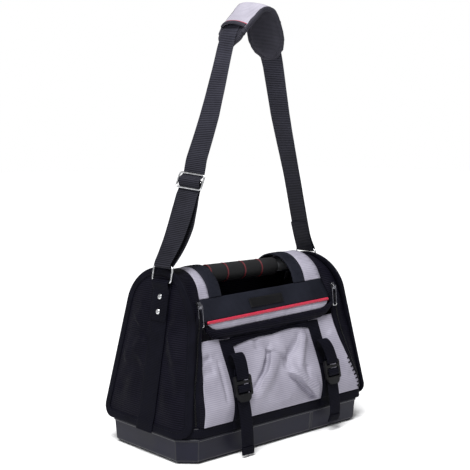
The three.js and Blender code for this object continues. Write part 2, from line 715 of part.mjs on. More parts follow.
function alongX(profile, segments) {
  const geometry = new THREE.LatheGeometry(profile, segments);
  return geometry.rotateZ(-Math.PI / 2).translate(0, 0, HANDLE.z);
}

function tubeProfile(bore, half, radiusAt, steps) {
  const profile = [new THREE.Vector2(bore, half), new THREE.Vector2(bore, -half)];
  for (let i = 0; i <= steps; i += 1) {
    const x = lerp(-half, half, i / steps);
    profile.push(new THREE.Vector2(radiusAt(x), x));
  }
  profile.push(new THREE.Vector2(bore, half));
  return profile;
}

// The grip is pinched a little between its cells.
function gripRadiusAt(x) {
  const wave = Math.cos((HANDLE.cells * Math.PI * (x / HANDLE.gripHalf - 1)) / 2);
  return HANDLE.gripRadius - HANDLE.pinch * wave ** HANDLE.pinchSharpness;
}

place('handle_bar', alongX(tubeProfile(HANDLE.barBore, barHalf, () => HANDLE.barRadius, 1), 20), STEEL);
place('handle_grip', alongX(
  tubeProfile(HANDLE.barRadius + GAP, HANDLE.gripHalf, gripRadiusAt, 4 * HANDLE.cells),
  18,
), FOAM_GRIP);

// Zip sliders and their wire pulls

SIDES.forEach(({ name, sign }) => {
  const seat = onStrip(sign, ZIP_ROW[name], ZIP.across);
  const outward = outwardAt(ZIP_ROW[name]);
  const frame = new THREE.Group();
  const up = outward.clone().cross(vec(1, 0, 0));
  frame.quaternion.setFromRotationMatrix(new THREE.Matrix4().makeBasis(vec(1, 0, 0), up, outward));
  frame.position.copy(seat).addScaledVector(outward, ZIP.standOff);
  bag.add(frame);

  const eye = PULL.wire + ZIP.eyeRoom;
  const body = new THREE.Shape();
  body.moveTo(-ZIP.length / 2, 0);
  body.lineTo(ZIP.length / 2, 0);
  body.lineTo(ZIP.length / 2, ZIP.tall);
  body.absarc(ZIP.hingeUp, ZIP.hingeTall, eye + ZIP.eyeWall, 0, Math.PI, false);
  body.lineTo(-ZIP.length / 2, ZIP.tall);
  body.closePath();
  const hole = new THREE.Path();
  hole.absarc(ZIP.hingeUp, ZIP.hingeTall, eye, 0, 2 * Math.PI, true);
  body.holes.push(hole);
  const slider = extruded(body, ZIP.width, 5);
  slider.applyMatrix4(toBoardPlane);
  place(`zip_slider_${name}`, slider.translate(-ZIP.width / 2, 0, 0), STEEL, frame);

  const drop = THREE.MathUtils.degToRad(PULL.dropDegrees);
  const outline = roundedRectangle(PULL.halfWidth, -PULL.length, 0, PULL.corner);
  const path = outlinePoints(outline, 3).map((p) => (
    vec(p.x, ZIP.hingeUp + p.y * Math.cos(drop), ZIP.hingeTall + p.y * Math.sin(drop))
  ));
  const normal = vec(0, -Math.sin(drop), Math.cos(drop));
  place(`zip_pull_${name}`, wireLoop(path, normal, PULL.wire, 6), STEEL, frame);
});

// Front straps: sewn webbing, slack loop, ladder buckle and hanging tail

const buckleUp = vec(0, BUCKLE.leanY, Math.sqrt(1 - BUCKLE.leanY ** 2));
const buckleOut = buckleUp.clone().cross(vec(1, 0, 0)).negate();

// A point beside a buckle's middle: out from its mid plane and up along it.
function besideBuckle(middle, out, up) {
  return middle.clone().addScaledVector(buckleOut, out).addScaledVector(buckleUp, up);
}

function sewnPath(x, fromRow, toRow, standOff, steps) {
  return Array.from({ length: steps + 1 }, (_, i) => {
    const row = lerp(fromRow, toRow, i / steps);
    return onSection(x, row, standOff);
  });
}

function buckleGeometry() {
  const shape = new THREE.Shape();
  const half = BUCKLE.width / 2;
  const tongueHalf = BUCKLE.tongue / 2;
  const lastSlot = SLOTS[SLOTS.length - 1].foot;
  const { corner, tongueRound } = BUCKLE;
  const tongueX = tongueHalf - tongueRound;
  const tongueY = tongueRound - BUCKLE.half;
  shape.absarc(tongueX, tongueY, tongueRound, -Math.PI / 2, 0, false);
  shape.lineTo(half, lastSlot - 2);
  shape.absarc(half - corner, BUCKLE.half - corner, corner, 0, Math.PI / 2, false);
  shape.absarc(corner - half, BUCKLE.half - corner, corner, Math.PI / 2, Math.PI, false);
  shape.lineTo(-half, lastSlot - 2);
  shape.absarc(-tongueX, tongueY, tongueRound, Math.PI, 1.5 * Math.PI, false);
  shape.closePath();
  SLOTS.forEach(({ top, foot }) => {
    const slot = new THREE.Path();
    slot.moveTo(-BUCKLE.slotHalf, foot);
    slot.lineTo(-BUCKLE.slotHalf, top);
    slot.lineTo(BUCKLE.slotHalf, top);
    slot.lineTo(BUCKLE.slotHalf, foot);
    slot.closePath();
    shape.holes.push(slot);
  });
  return extruded(shape, BUCKLE.thick, 4).translate(0, 0, -BUCKLE.thick / 2);
}

const flatOn = GAP + FRONT_STRAP.thick / 2;
const secondOn = flatOn + FRONT_STRAP.thick + 1.5 * GAP;
const besideBar = BUCKLE.thick / 2 + BUCKLE.barRoom + FRONT_STRAP.thick / 2;

// Webbing threaded round the bars of the buckle, as out and up from the buckle's middle.
const LOOP_THREADING = [
  { out: besideBar, up: 20 }, { out: besideBar, up: 16.6 }, { out: 2.2, up: 14.2 }, { out: 0, up: 13.6 },
  { out: -2.2, up: 14.2 }, { out: -besideBar, up: 16.6 }, { out: -3, up: 21 }, { out: -1.6, up: 26 },
  { out: -0.4, up: 31 },
];
const TAIL_THREADING = [
  { out: -4.9, up: -4 }, { out: -4.3, up: 1.5 }, { out: -2.6, up: 4 }, { out: 0, up: 4.9 },
  { out: 2.4, up: 4.1 }, { out: besideBar, up: 1.6 }, { out: besideBar, up: -2.6 }, { out: 1.4, up: -4.8 },
  { out: -2.4, up: -6 }, { out: -3.6, up: -9.5 }, { out: -3.4, up: -19 },
];

SIDES.forEach(({ name, sign }) => {
  const x = sign * FRONT_STRAP.x;
  const middle = vec(x + BUCKLE_SPOT[name].shift, BUCKLE.y, BUCKLE_SPOT[name].z);
  const threaded = (spots) => spots.map(({ out, up }) => besideBuckle(middle, out, up));
  const strap = (path) => {
    const frames = framesOf(path, () => vec(1, 0, 0));
    return webbing(frames, FRONT_STRAP.width, FRONT_STRAP.thick);
  };

  const sewnRoute = [
    ...sewnPath(x, FRONT_STRAP.topRow, ROW.hem, flatOn, 18),
    vec(x, -TRAY.depth / 2 - HEM.outer - flatOn, FRONT_STRAP.footZ),
  ];
  const loopRoute = [
    ...sewnPath(x, LOOP_SEWN.fromRow, LOOP_SEWN.toRow, secondOn, 3),
    ...LOOP_ARCH[name].map(({ drift, y, z }) => vec(x + drift, y, z)),
    ...threaded(LOOP_THREADING),
  ];
  const tailRoute = [
    ...sewnPath(x, TAIL_SEWN.fromRow, TAIL_SEWN.toRow, secondOn, 4),
    ...threaded(TAIL_THREADING),
    ...TAIL_DROP[name].map(({ drift, y, z }) => vec(x + drift, y, z)),
  ];
  place(`front_webbing_${name}`, strap(sewnRoute), BLACK_WEBBING);
  place(`front_loop_${name}`, strap(smooth(loopRoute, 2)), BLACK_WEBBING);
  place(`front_tail_${name}`, strap(smooth(tailRoute, 2)), BLACK_WEBBING);
  const buckle = place(`buckle_${name}`, buckleGeometry(), BUCKLE_PLASTIC);
  buckle.position.copy(middle);
  const stance = new THREE.Matrix4().makeBasis(vec(1, 0, 0), buckleUp, buckleOut);
  buckle.quaternion.setFromRotationMatrix(stance);
});

// Shoulder strap, its slider and its pad

// Direction across the webbing, towards the back, for a twist in degrees and a roll.
function acrossStrap(twist, roll) {
  const angle = THREE.MathUtils.degToRad(twist);
  return vec(-Math.sin(angle), Math.cos(angle), roll).normalize();
}

const sliderMiddle = vec(SLIDER.x, SLIDER.y, SLIDER.z);
const sliderAcross = acrossStrap(SLIDER.twist, SLIDER.roll);
const sliderLean = vec(SLIDER.leanX, 0, Math.sqrt(1 - SLIDER.leanX ** 2));
const sliderUp = sliderLean.addScaledVector(sliderAcross, -sliderLean.dot(sliderAcross)).normalize();
const sliderOut = sliderUp.clone().cross(sliderAcross);
const strapReach = STRAP.thick / 2 + BEND_ROOM;

// A point beside the slider: out from its mid plane and up the strap from its middle.
function atSlider(out, up) {
  return sliderMiddle.clone().addScaledVector(sliderOut, out).addScaledVector(sliderUp, up);
}

// The same as a row of the webbing's route, turned like the slider.
function rowAtSlider(out, up) {
  const { x, y, z } = atSlider(out, up);
  return { x, y, z, twist: SLIDER.twist, roll: SLIDER.roll };
}

const ringBar = vec(
  END.footX + RING.x * Math.cos(lean) - RING.highS * Math.sin(lean),
  END_WEB.shift,
  END.footZ + RING.x * Math.sin(lean) + RING.highS * Math.cos(lean),
);

// Round the top bar of a ring, from the inner side under it to the outer side.
function roundRing(sign, degrees) {
  const reach = RING.wire + strapReach;
  return degrees.map((d) => {
    const angle = THREE.MathUtils.degToRad(d);
    const x = ringBar.x + reach * Math.cos(angle);
    return vec(sign * x, sign * ringBar.y, ringBar.z + reach * Math.sin(angle));
  });
}

// Round the middle bar of the slider: the sewn end of the webbing.
function sewnHook() {
  const reach = SLIDER.wire + strapReach;
  return [-15, 20, 55, 90, 125, 160, 195].map((d) => {
    const angle = THREE.MathUtils.degToRad(d);
    return rowAtSlider(reach * Math.cos(angle), reach * Math.sin(angle));
  });
}

function sliderGeometry() {
  const outline = roundedRectangle(SLIDER.halfWidth, -SLIDER.halfHeight, SLIDER.halfHeight, SLIDER.corner);
  const path = outlinePoints(outline, 3).map((p) => atSlider(0, p.y).addScaledVector(sliderAcross, p.x));
  return wireLoop(path, sliderOut, SLIDER.wire);
}

function sliderBarGeometry() {
  const half = SLIDER.halfWidth - SLIDER.wire - GAP;
  const ends = [-half, half].map((side) => sliderMiddle.clone().addScaledVector(sliderAcross, side));
  return loft(ends.map((end) => circle(end, sliderOut, sliderUp, SLIDER.wire, 10)));
}

place('strap_slider', sliderGeometry(), STEEL);
place('strap_slider_bar', sliderBarGeometry(), STEEL);

// The webbing's whole route, from its sewn end at the slider to its folded end at the right ring.
const beforePad = [
  ...sewnHook(), rowAtSlider(-4.9, -8), rowAtSlider(-5.8, -16),
  ...LEFT_BACK_LAYER,
  ...roundRing(-1, [215, 240, 270, 300, 330, 360, 390]),
  ...LEFT_FRONT_LAYER,
  rowAtSlider(-2.2, -20), rowAtSlider(-3.2, -12), rowAtSlider(1.2, -6), rowAtSlider(5.2, -0.3),
  rowAtSlider(1.2, 6), rowAtSlider(-3.2, 12), rowAtSlider(-2.2, 20),
  ...LEFT_RUN,
];
const afterPad = [
  ...RIGHT_RUN,
  ...roundRing(1, [20, -10, -45, -80, -115, -150, -185]),
  ...RIGHT_FOLD,
];
const strapRows = [...beforePad, ...PAD, ...afterPad];
const stepsPerRow = 2;

// A column of a table, carried smoothly from row to row at the same places as the route.
function smoothColumn(rows, column) {
  return smooth(rows.map((row, i) => vec(i, row[column] ?? 0, 0)), stepsPerRow).map((spot) => spot.y);
}

const twists = smoothColumn(strapRows, 'twist');
const rolls = smoothColumn(strapRows, 'roll');
const route = smooth(strapRows.map(({ x, y = 0, z }) => vec(x, y, z)), stepsPerRow);
const strapFrames = framesOf(route, (i) => acrossStrap(twists[i], rolls[i]));
const padStart = beforePad.length * stepsPerRow;
const padTop = padStart + PAD_TOP * stepsPerRow;

// Moves one frame along the route, so that the two runs meet with a small gap at the top.
function slid(frame, along) {
  const ahead = frame.across.clone().cross(frame.out);
  return { ...frame, point: frame.point.clone().addScaledVector(ahead, along) };
}

const leftRun = [...strapFrames.slice(0, padTop), slid(strapFrames[padTop], -GAP)];
const rightRun = [slid(strapFrames[padTop], GAP), ...strapFrames.slice(padTop + 1)];
place('strap_left', webbing(leftRun, STRAP.width, STRAP.thick), BLACK_WEBBING);
place('strap_right', webbing(rightRun, STRAP.width, STRAP.thick), BLACK_WEBBING);

// A padded strip along the webbing between two rows of PAD.
function padStrip(fromRow, toRow, section) {
  const halves = smoothColumn(PAD, 'half');
  const mirrored = section.slice(1, -1).reverse().map(({ side, out }) => ({ side: -side, out }));
  const rings = [];
  for (let i = fromRow * stepsPerRow; i <= toRow * stepsPerRow; i += 1) {
    const { point, across, out } = strapFrames[padStart + i];
    rings.push([...section, ...mirrored].map((spot) => (
      point.clone().addScaledVector(across, spot.side * halves[i]).addScaledVector(out, spot.out)
    )));
  }
  return loft(rings);
}

place('pad_base', padStrip(0, PAD.length - 1, PAD_SECTION), BLACK_NYLON);
place('pad_sleeve', padStrip(SLEEVE_ROWS.from, SLEEVE_ROWS.to, SLEEVE_SECTION), GREY_CLOTH);

export default bag;
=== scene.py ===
import math

import bmesh
import bpy
import numpy as np
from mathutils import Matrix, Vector, noise
from mathutils.bvhtree import BVHTree


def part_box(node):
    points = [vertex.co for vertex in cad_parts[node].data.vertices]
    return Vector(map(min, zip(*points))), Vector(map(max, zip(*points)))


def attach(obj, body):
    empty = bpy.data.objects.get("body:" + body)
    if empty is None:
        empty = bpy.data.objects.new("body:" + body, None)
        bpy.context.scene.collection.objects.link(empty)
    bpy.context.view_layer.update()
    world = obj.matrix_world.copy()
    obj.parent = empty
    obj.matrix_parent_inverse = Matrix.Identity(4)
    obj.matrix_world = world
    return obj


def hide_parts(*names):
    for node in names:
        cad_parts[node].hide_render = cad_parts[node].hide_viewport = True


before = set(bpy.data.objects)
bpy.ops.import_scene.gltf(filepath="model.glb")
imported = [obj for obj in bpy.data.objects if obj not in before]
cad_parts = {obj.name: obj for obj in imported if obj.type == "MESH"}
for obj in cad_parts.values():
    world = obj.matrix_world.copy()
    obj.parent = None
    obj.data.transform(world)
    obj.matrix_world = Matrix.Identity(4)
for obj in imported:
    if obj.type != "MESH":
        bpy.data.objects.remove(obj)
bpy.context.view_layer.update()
mm = 0.001
bothSides = ("left", "right")
bagCore = np.array((0, 0, 0.13))  # the walls look away from this line, which runs along x
loopCore = np.array((0.02, 0, 0.45))  # middle of the shoulder loop
print("frame loaded:", len(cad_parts), "nodes")


# finishes

def tone(red, green, blue):
    parts = [value / 255 for value in (red, green, blue)]
    return [p / 12.92 if p <= 0.04045 else ((p + 0.055) / 1.055) ** 2.4 for p in parts]


def addNode(tree, kind, inputs=None, **settings):
    node = tree.nodes.new("ShaderNode" + kind)
    for key, value in settings.items():
        setattr(node, key, value)
    for key, value in (inputs or {}).items():
        if isinstance(value, bpy.types.NodeSocket):
            tree.links.new(value, node.inputs[key])
        else:
            node.inputs[key].default_value = value
    return node


def calc(tree, operation, first, second):
    return addNode(tree, "Math", {0: first, 1: second}, operation=operation).outputs[0]


def mixOf(tree, first, second, share):
    return calc(tree, "ADD", calc(tree, "MULTIPLY", first, 1 - share), calc(tree, "MULTIPLY", second, share))


def speckle(tree, place, scale, detail):
    return addNode(tree, "TexNoise", {"Vector": place, "Scale": scale, "Detail": detail}).outputs["Fac"]


noiseSpan = (0.3, 0.7)  # most of a noise's values lie between these


def ramp(tree, factor, dark, light):
    node = addNode(tree, "ValToRGB", {"Fac": factor})
    for stop, position, colour in zip(node.color_ramp.elements, noiseSpan, (dark, light)):
        stop.position, stop.color = position, (*colour, 1)
    return node.outputs["Color"]


def spread(tree, factor, fromPair, toPair):
    bounds = {"From Min": fromPair[0], "From Max": fromPair[1], "To Min": toPair[0], "To Max": toPair[1]}
    return addNode(tree, "MapRange", {"Value": factor, **bounds}).outputs["Result"]


socketNames = {"gloss": "Specular IOR Level", "sheen": "Sheen Weight", "metal": "Metallic"}


def newFinish(name, look):
    material = bpy.data.materials.new(name)
    material.use_nodes = True
    tree = material.node_tree
    shader = tree.nodes["Principled BSDF"]
    for key, socket in socketNames.items():
        if key in look:
            shader.inputs[socket].default_value = look[key]
    return material, tree, shader


# a finish can be painted lighter towards the top, as painted light, given as (from height, to height, gain)
def wire(tree, shader, look, colourBy, height, roughBy):
    colour = ramp(tree, colourBy, look["dark"], look["light"])
    if "paintedLightTop" in look:
        low, high, gain = look["paintedLightTop"]
        place = addNode(tree, "TexCoord").outputs["Object"]
        level = addNode(tree, "SeparateXYZ", {"Vector": place}).outputs["Z"]
        paintedLight = spread(tree, level, (low, high), (1.0, gain))
        colour = addNode(tree, "HueSaturation", {"Color": colour, "Value": paintedLight}).outputs["Color"]
    tree.links.new(colour, shader.inputs["Base Color"])
    tree.links.new(spread(tree, roughBy, noiseSpan, look["rough"]), shader.inputs["Roughness"])
    relief = {"Strength": look["bump"], "Distance": look["depth"] * mm, "Height": height}
    tree.links.new(addNode(tree, "Bump", relief).outputs["Normal"], shader.inputs["Normal"])


# what woven cloth has unless its own dictionary says otherwise; pitches and depth in mm
clothBasics = {
    "rough": (0.55, 0.75), "pitchU": 1.2, "pitchV": 1.8, "shareV": 0.7, "wobble": 0.4, "patch": 25.0,
    "shareWeave": 0.6, "fuzz": 900.0, "shareFuzz": 0.25, "bump": 0.6, "depth": 0.3,
}
wavePitch = 0.31416  # a wave texture repeats at this distance when its scale is 1


# woven cloth: two sets of threads over the cloth's own metres, fuzz, and slow patches of tone
def clothFinish(name, changes):
    look = {**clothBasics, **changes}
    material, tree, shader = newFinish(name, look)
    place = addNode(tree, "UVMap").outputs["UV"]
    threads = []
    for key, axis in (("pitchU", "X"), ("pitchV", "Y")):
        scale = wavePitch / (look[key] * mm)
        band = {"Vector": place, "Scale": scale, "Distortion": look["wobble"], "Detail": 1.0}
        threads.append(addNode(tree, "TexWave", band, bands_direction=axis).outputs["Fac"])
    weave = mixOf(tree, threads[0], threads[1], look["shareV"])
    height = mixOf(tree, weave, speckle(tree, place, look["fuzz"], 3.0), look["shareFuzz"])
    patch = speckle(tree, place, look["patch"], 4.0)
    wire(tree, shader, look, mixOf(tree, patch, height, look["shareWeave"]), height, patch)
    return material


hardBasics = {"grain": 900.0, "shareGrain": 0.35, "patch": 60.0, "bump": 0.1, "depth": 0.05}


# moulded plastic, metal, foam and rubber: fine grain over slow patches
def hardFinish(name, changes):
    look = {**hardBasics, **changes}
    material, tree, shader = newFinish(name, look)
    place = addNode(tree, "TexCoord").outputs["Object"]
    grain = speckle(tree, place, look["grain"], 2.0)
    patch = speckle(tree, place, look["patch"], 5.0)
    wire(tree, shader, look, mixOf(tree, patch, grain, look["shareGrain"]), grain, patch)
    return material


blackNylon = clothFinish("black rib nylon", {
    "dark": tone(4, 4, 9), "light": tone(21, 20, 30), "rough": (0.45, 0.6), "gloss": 0.035,
    "pitchU": 1.3, "pitchV": 3.2, "shareV": 0.88, "wobble": 0.5, "bump": 0.9, "depth": 0.5,
})
bindingTape = clothFinish("black binding tape", {
    "dark": tone(5, 5, 10), "light": tone(19, 19, 28), "rough": (0.6, 0.8), "gloss": 0.04,
    "pitchU": 1.0, "pitchV": 1.2, "shareV": 0.6, "patch": 40.0, "shareWeave": 0.5, "bump": 0.5, "depth": 0.2,
})
# the bands and roof arches are painted lighter than the end cloth, as painted light where they face up
paintedLitBandNylon = clothFinish("black band nylon painted lighter", {
    "dark": tone(11, 12, 18), "light": tone(34, 36, 46), "gloss": 0.08, "patch": 20.0, "shareWeave": 0.5,
})
padNylon = clothFinish("black pad nylon", {
    "dark": tone(22, 22, 28), "light": tone(61, 60, 70), "gloss": 0.15,
    "pitchU": 1.3, "pitchV": 2.2, "bump": 0.7,
})
greyCloth = clothFinish("grey woven cloth", {
    "dark": tone(122, 119, 132), "light": tone(160, 157, 171), "rough": (0.5, 0.7), "gloss": 0.3,
    "pitchU": 1.1, "pitchV": 3.1, "shareV": 0.8, "wobble": 0.6, "patch": 14.0, "shareWeave": 0.35,
    "bump": 0.45, "depth": 0.25,
})
sleeveCloth = clothFinish("pale grey sleeve cloth", {
    "dark": tone(142, 139, 152), "light": tone(180, 176, 189), "rough": (0.5, 0.7), "gloss": 0.3,
    "pitchU": 1.1, "pitchV": 3.1, "shareV": 0.8, "wobble": 0.6, "patch": 20.0, "shareWeave": 0.45, "bump": 0.5,
})
blackWebbing = clothFinish("black ribbed webbing", {
    "dark": tone(4, 4, 8), "light": tone(20, 20, 29), "gloss": 0.03,
    "pitchU": 1.4, "pitchV": 2.4, "shareV": 0.75, "wobble": 0.3, "patch": 30.0,
})
# the upper part of the shoulder webbing is painted lighter, as painted light falling on it
shoulderWebbing = clothFinish("black shoulder webbing", {
    "dark": tone(11, 11, 15), "light": tone(43, 43, 51), "paintedLightTop": (0.36, 0.6, 2.0), "gloss": 0.08,
    "pitchU": 2.0, "pitchV": 3.0, "shareV": 0.8, "wobble": 0.3, "patch": 30.0, "shareWeave": 0.7,
    "bump": 0.7, "depth": 0.4,
})
redCord = clothFinish("crimson piping", {
    "dark": tone(152, 8, 42), "light": tone(206, 18, 64), "rough": (0.35, 0.5), "sheen": 0.15,
    "pitchU": 1.0, "pitchV": 1.6, "shareV": 0.5, "wobble": 0.8, "patch": 60.0, "bump": 0.4, "depth": 0.2,
})
bandRed = clothFinish("dark red grip band", {
    "dark": tone(62, 4, 14), "light": tone(112, 12, 28), "rough": (0.45, 0.6),
    "pitchU": 1.2, "pitchV": 1.4, "shareV": 0.5, "patch": 60.0, "bump": 0.5, "depth": 0.2,
})
blackThread = clothFinish("black thread", {
    "dark": tone(6, 6, 11), "light": tone(18, 18, 25), "rough": (0.5, 0.7), "gloss": 0.1,
    "pitchU": 0.5, "pitchV": 0.5, "shareV": 0.5, "wobble": 0.2, "patch": 300.0, "bump": 0.4, "depth": 0.1,
})
trayPlastic = hardFinish("moulded tray plastic", {
    "dark": tone(14, 14, 25), "light": tone(26, 26, 41), "rough": (0.4, 0.55), "gloss": 0.18,
    "grain": 1800.0, "patch": 22.0, "bump": 0.35, "depth": 0.2,
})
trayEdge = hardFinish("worn tray edge", {
    "dark": tone(13, 14, 20), "light": tone(28, 29, 38), "rough": (0.3, 0.42), "gloss": 0.35,
    "grain": 700.0, "bump": 0.2, "depth": 0.1,
})
bucklePlastic = hardFinish("glossy buckle plastic", {
    "dark": tone(3, 3, 5), "light": tone(10, 10, 13), "rough": (0.28, 0.42), "gloss": 0.22,
    "grain": 1200.0, "patch": 70.0, "bump": 0.15, "depth": 0.1,
})
foam = hardFinish("grip foam", {
    "dark": tone(8, 8, 10), "light": tone(24, 24, 27), "rough": (0.6, 0.8), "gloss": 0.3,
    "grain": 1500.0, "patch": 40.0, "bump": 0.6, "depth": 0.3,
})
rubber = hardFinish("bare rubber patch", {
    "dark": tone(3, 3, 5), "light": tone(9, 9, 12), "rough": (0.45, 0.6), "gloss": 0.2,
    "patch": 50.0, "bump": 0.3, "depth": 0.15,
})
steel = hardFinish("nickel plated steel", {
    "dark": tone(176, 177, 180), "light": tone(226, 227, 229), "rough": (0.14, 0.3), "metal": 1.0, "patch": 120.0,
})
# steel painted darker than it is, as painted reflection of dark surroundings; used for the zip sliders and pulls
darkReflectionWire = hardFinish("steel painted dark as reflection", {
    "dark": tone(70, 70, 76), "light": tone(128, 128, 136), "rough": (0.2, 0.34), "metal": 0.9, "patch": 160.0,
})
tubeMetal = hardFinish("satin grey tube", {
    "dark": tone(126, 127, 132), "light": tone(168, 169, 174), "rough": (0.35, 0.5), "metal": 0.6, "grain": 800.0,
})
print("finishes made")


# mesh helpers

weldGap = 0.01 * mm  # corners of a node that are closer than this are one


def readRows(source, key):
    flat = np.empty(len(source) * 3, np.float32)
    source.foreach_get(key, flat)
    return flat.reshape(-1, 3).astype(float)


def readPoints(mesh):
    return readRows(mesh.vertices, "co")


def readNormals(mesh):
    return readRows(mesh.vertex_normals, "vector")


def writePoints(mesh, points):
    mesh.vertices.foreach_set("co", points.astype(np.float32).ravel())
    mesh.update()


def nodePoints(name):
    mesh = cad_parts[name].data
    points = readPoints(mesh)
    keys = np.round(points / weldGap).astype(int)
    _, first, index = np.unique(keys, axis=0, return_index=True, return_inverse=True)
    mesh.calc_loop_triangles()
    corners = np.empty(len(mesh.loop_triangles) * 3, np.int32)
    mesh.loop_triangles.foreach_get("vertices", corners)
    return points[first], index.reshape(-1)[corners].reshape(-1, 3)


def edgesOf(triangles):
    return np.sort(np.concatenate([triangles[:, pair] for pair in ([0, 1], [1, 2], [2, 0])]), axis=1)


def crossOf(corner):
    return np.cross(corner[:, 1] - corner[:, 0], corner[:, 2] - corner[:, 0])


def setUv(mesh, uv):
    layer = mesh.uv_layers[0] if mesh.uv_layers else mesh.uv_layers.new(name="cloth")
    corner = np.empty(len(mesh.loops), np.int32)
    mesh.loops.foreach_get("vertex_index", corner)
    layer.data.foreach_set("uv", np.asarray(uv, np.float32)[corner].ravel())


def addObject(name, data):
    thing = bpy.data.objects.new(name, data)
    bpy.context.scene.collection.objects.link(thing)
    return thing


def newPiece(name, points, faces, finish, uv=None):
    mesh = bpy.data.meshes.new(name)
    mesh.from_pydata([tuple(p) for p in points], [], [tuple(int(i) for i in f) for f in faces])
    mesh.materials.append(finish)
    if uv is not None:
        setUv(mesh, uv)
    build = bmesh.new()
    build.from_mesh(mesh)
    bmesh.ops.recalc_face_normals(build, faces=build.faces[:])
    for face in build.faces:
        face.smooth = True
    build.to_mesh(mesh)
    build.free()
    return addObject(name, mesh)


def startBuild(points, faces):
    build = bmesh.new()
    corners = [build.verts.new(p) for p in points]
    for face in faces:
        build.faces.new([corners[i] for i in face])
    return build


def builtPiece(name, build, *finishes):
    mesh = bpy.data.meshes.new(name)
    build.to_mesh(mesh)
    build.free()
    for finish in finishes:
        mesh.materials.append(finish)
    return addObject(name, mesh)


def pairTriangles(build):
    bmesh.ops.join_triangles(build, faces=build.faces[:], angle_face_threshold=1.2, angle_shape_threshold=1.6)


def settle(piece, slot, *nodes, body="bag"):
    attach(piece, body)
    if nodes:
        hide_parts(*nodes)
    return piece


def applyModifiers(piece):
    bpy.context.view_layer.update()
    graph = bpy.context.evaluated_depsgraph_get()
    seen = piece.evaluated_get(graph)
    mesh = bpy.data.meshes.new_from_object(seen, preserve_all_data_layers=True, depsgraph=graph)
    piece.modifiers.clear()
    piece.data = mesh
    mesh.name = piece.name


def modify(piece, kind, **settings):
    step = piece.modifiers.new(kind.lower(), kind)
    for key, value in settings.items():
        setattr(step, key, value)
    applyModifiers(piece)


def subdivide(piece, levels):
    modify(piece, "SUBSURF", levels=levels, render_levels=levels, boundary_smooth="PRESERVE_CORNERS")


def thicken(piece, thick):
    modify(piece, "SOLIDIFY", thickness=thick, offset=-1)


def unit(rows):
    return rows / np.linalg.norm(rows, axis=-1, keepdims=True)


def ease(share):
    share = np.clip(share, 0, 1)
    return share * share * (3 - 2 * share)


seedStep = (7.31, 3.77, 5.13)  # each seed reads the noise this much further on


def noiseAt(points, size, seed):
    shift = Vector([seed * step for step in seedStep])
    return np.array([noise.noise(Vector(p) / size + shift) for p in points])


def allAlong(direction, count):
    return np.tile(np.array(direction, float), (count, 1))


def closeUp(rows):
    return np.concatenate([rows, rows[:1]])


def runRound(loop):
    return unit(np.roll(loop, -1, axis=0) - np.roll(loop, 1, axis=0))


def arcOf(points):
    return np.concatenate([[0], np.cumsum(np.linalg.norm(np.diff(points, axis=0), axis=1))])


# rows that stand at the given arc lengths, read off between them: straight, or on a smooth curve
def readOff(rows, arc, at):
    return np.stack([np.interp(at, arc, column) for column in rows.T], axis=1)


def through(rows, arc, at):
    slope = np.gradient(rows, arc, axis=0)
    spot = np.clip(np.searchsorted(arc, at, side="right") - 1, 0, len(arc) - 2)
    span = (arc[spot + 1] - arc[spot])[:, None]
    t = ((at - arc[spot]) / span[:, 0])[:, None]
    start = rows[spot] * (2 * t**3 - 3 * t**2 + 1) + slope[spot] * span * (t**3 - 2 * t**2 + t)
    return start + rows[spot + 1] * (3 * t**2 - 2 * t**3) + slope[spot + 1] * span * (t**3 - t**2)


def lineAt(line, arc, at):
    return through(line[0], arc, at), unit(through(line[1], arc, at)), unit(through(line[2], arc, at))


def cutCorners(line, times, closed=False):
    for _ in range(times):
        after = np.roll(line, -1, axis=0) if closed else line[1:]
        before = line if closed else line[:-1]
        cut = np.stack([0.75 * before + 0.25 * after, 0.25 * before + 0.75 * after], axis=1)
        cut = cut.reshape(-1, line.shape[1])
        line = cut if closed else np.concatenate([line[:1], cut, line[-1:]])
    return line


def evenly(line, count, closed=False):
    line = closeUp(line) if closed else line
    arc = arcOf(line)
    at = np.linspace(0, arc[-1], count + 1)[:-1] if closed else np.linspace(0, arc[-1], count)
    return readOff(line, arc, at)


# faces between rows of points; a ring joins the last column to the first, a loop the last row
def gridFaces(rows, columns, ring=False, loop=False):
    faces = []
    for i in range(rows if loop else rows - 1):
        here, there = i * columns, (i + 1) % rows * columns
        for j in range(columns if ring else columns - 1):
            k = (j + 1) % columns
            faces.append((here + j, here + k, there + k, there + j))
    return faces


# skin of a section that travels along a line; the section is (across, out), one for all or one a station
def sweep(centre, across, out, section, closed=False, flatUv=True):
    count, around = len(centre), section.shape[-2]
    ring = np.broadcast_to(section, (count, around, 2))
    points = centre[:, None] + across[:, None] * ring[..., :1] + out[:, None] * ring[..., 1:]
    faces = gridFaces(count, around, ring=True, loop=closed)
    if not closed:
        faces.append(tuple(range(around)))
        faces.append(tuple((count - 1) * around + j for j in range(around)))
    along = np.repeat(arcOf(centre), around)
    wide = ring[..., 0].ravel() if flatUv else np.tile(arcOf(ring[0]), count)
    return points.reshape(-1, 3), faces, np.stack([wide, along], axis=1)


def sweptPiece(name, path, section, finish, slot, *nodes, closed=False, flatUv=True):
    points, faces, uv = sweep(*path, section, closed, flatUv)
    return settle(newPiece(name, points, faces, finish, uv), slot, *nodes)


def circleOf(sides):
    return np.linspace(0, 2 * math.pi, sides, endpoint=False)


def disc(radius, sides):
    turn = circleOf(sides)
    return np.stack([np.cos(turn), np.sin(turn)], axis=1) * radius


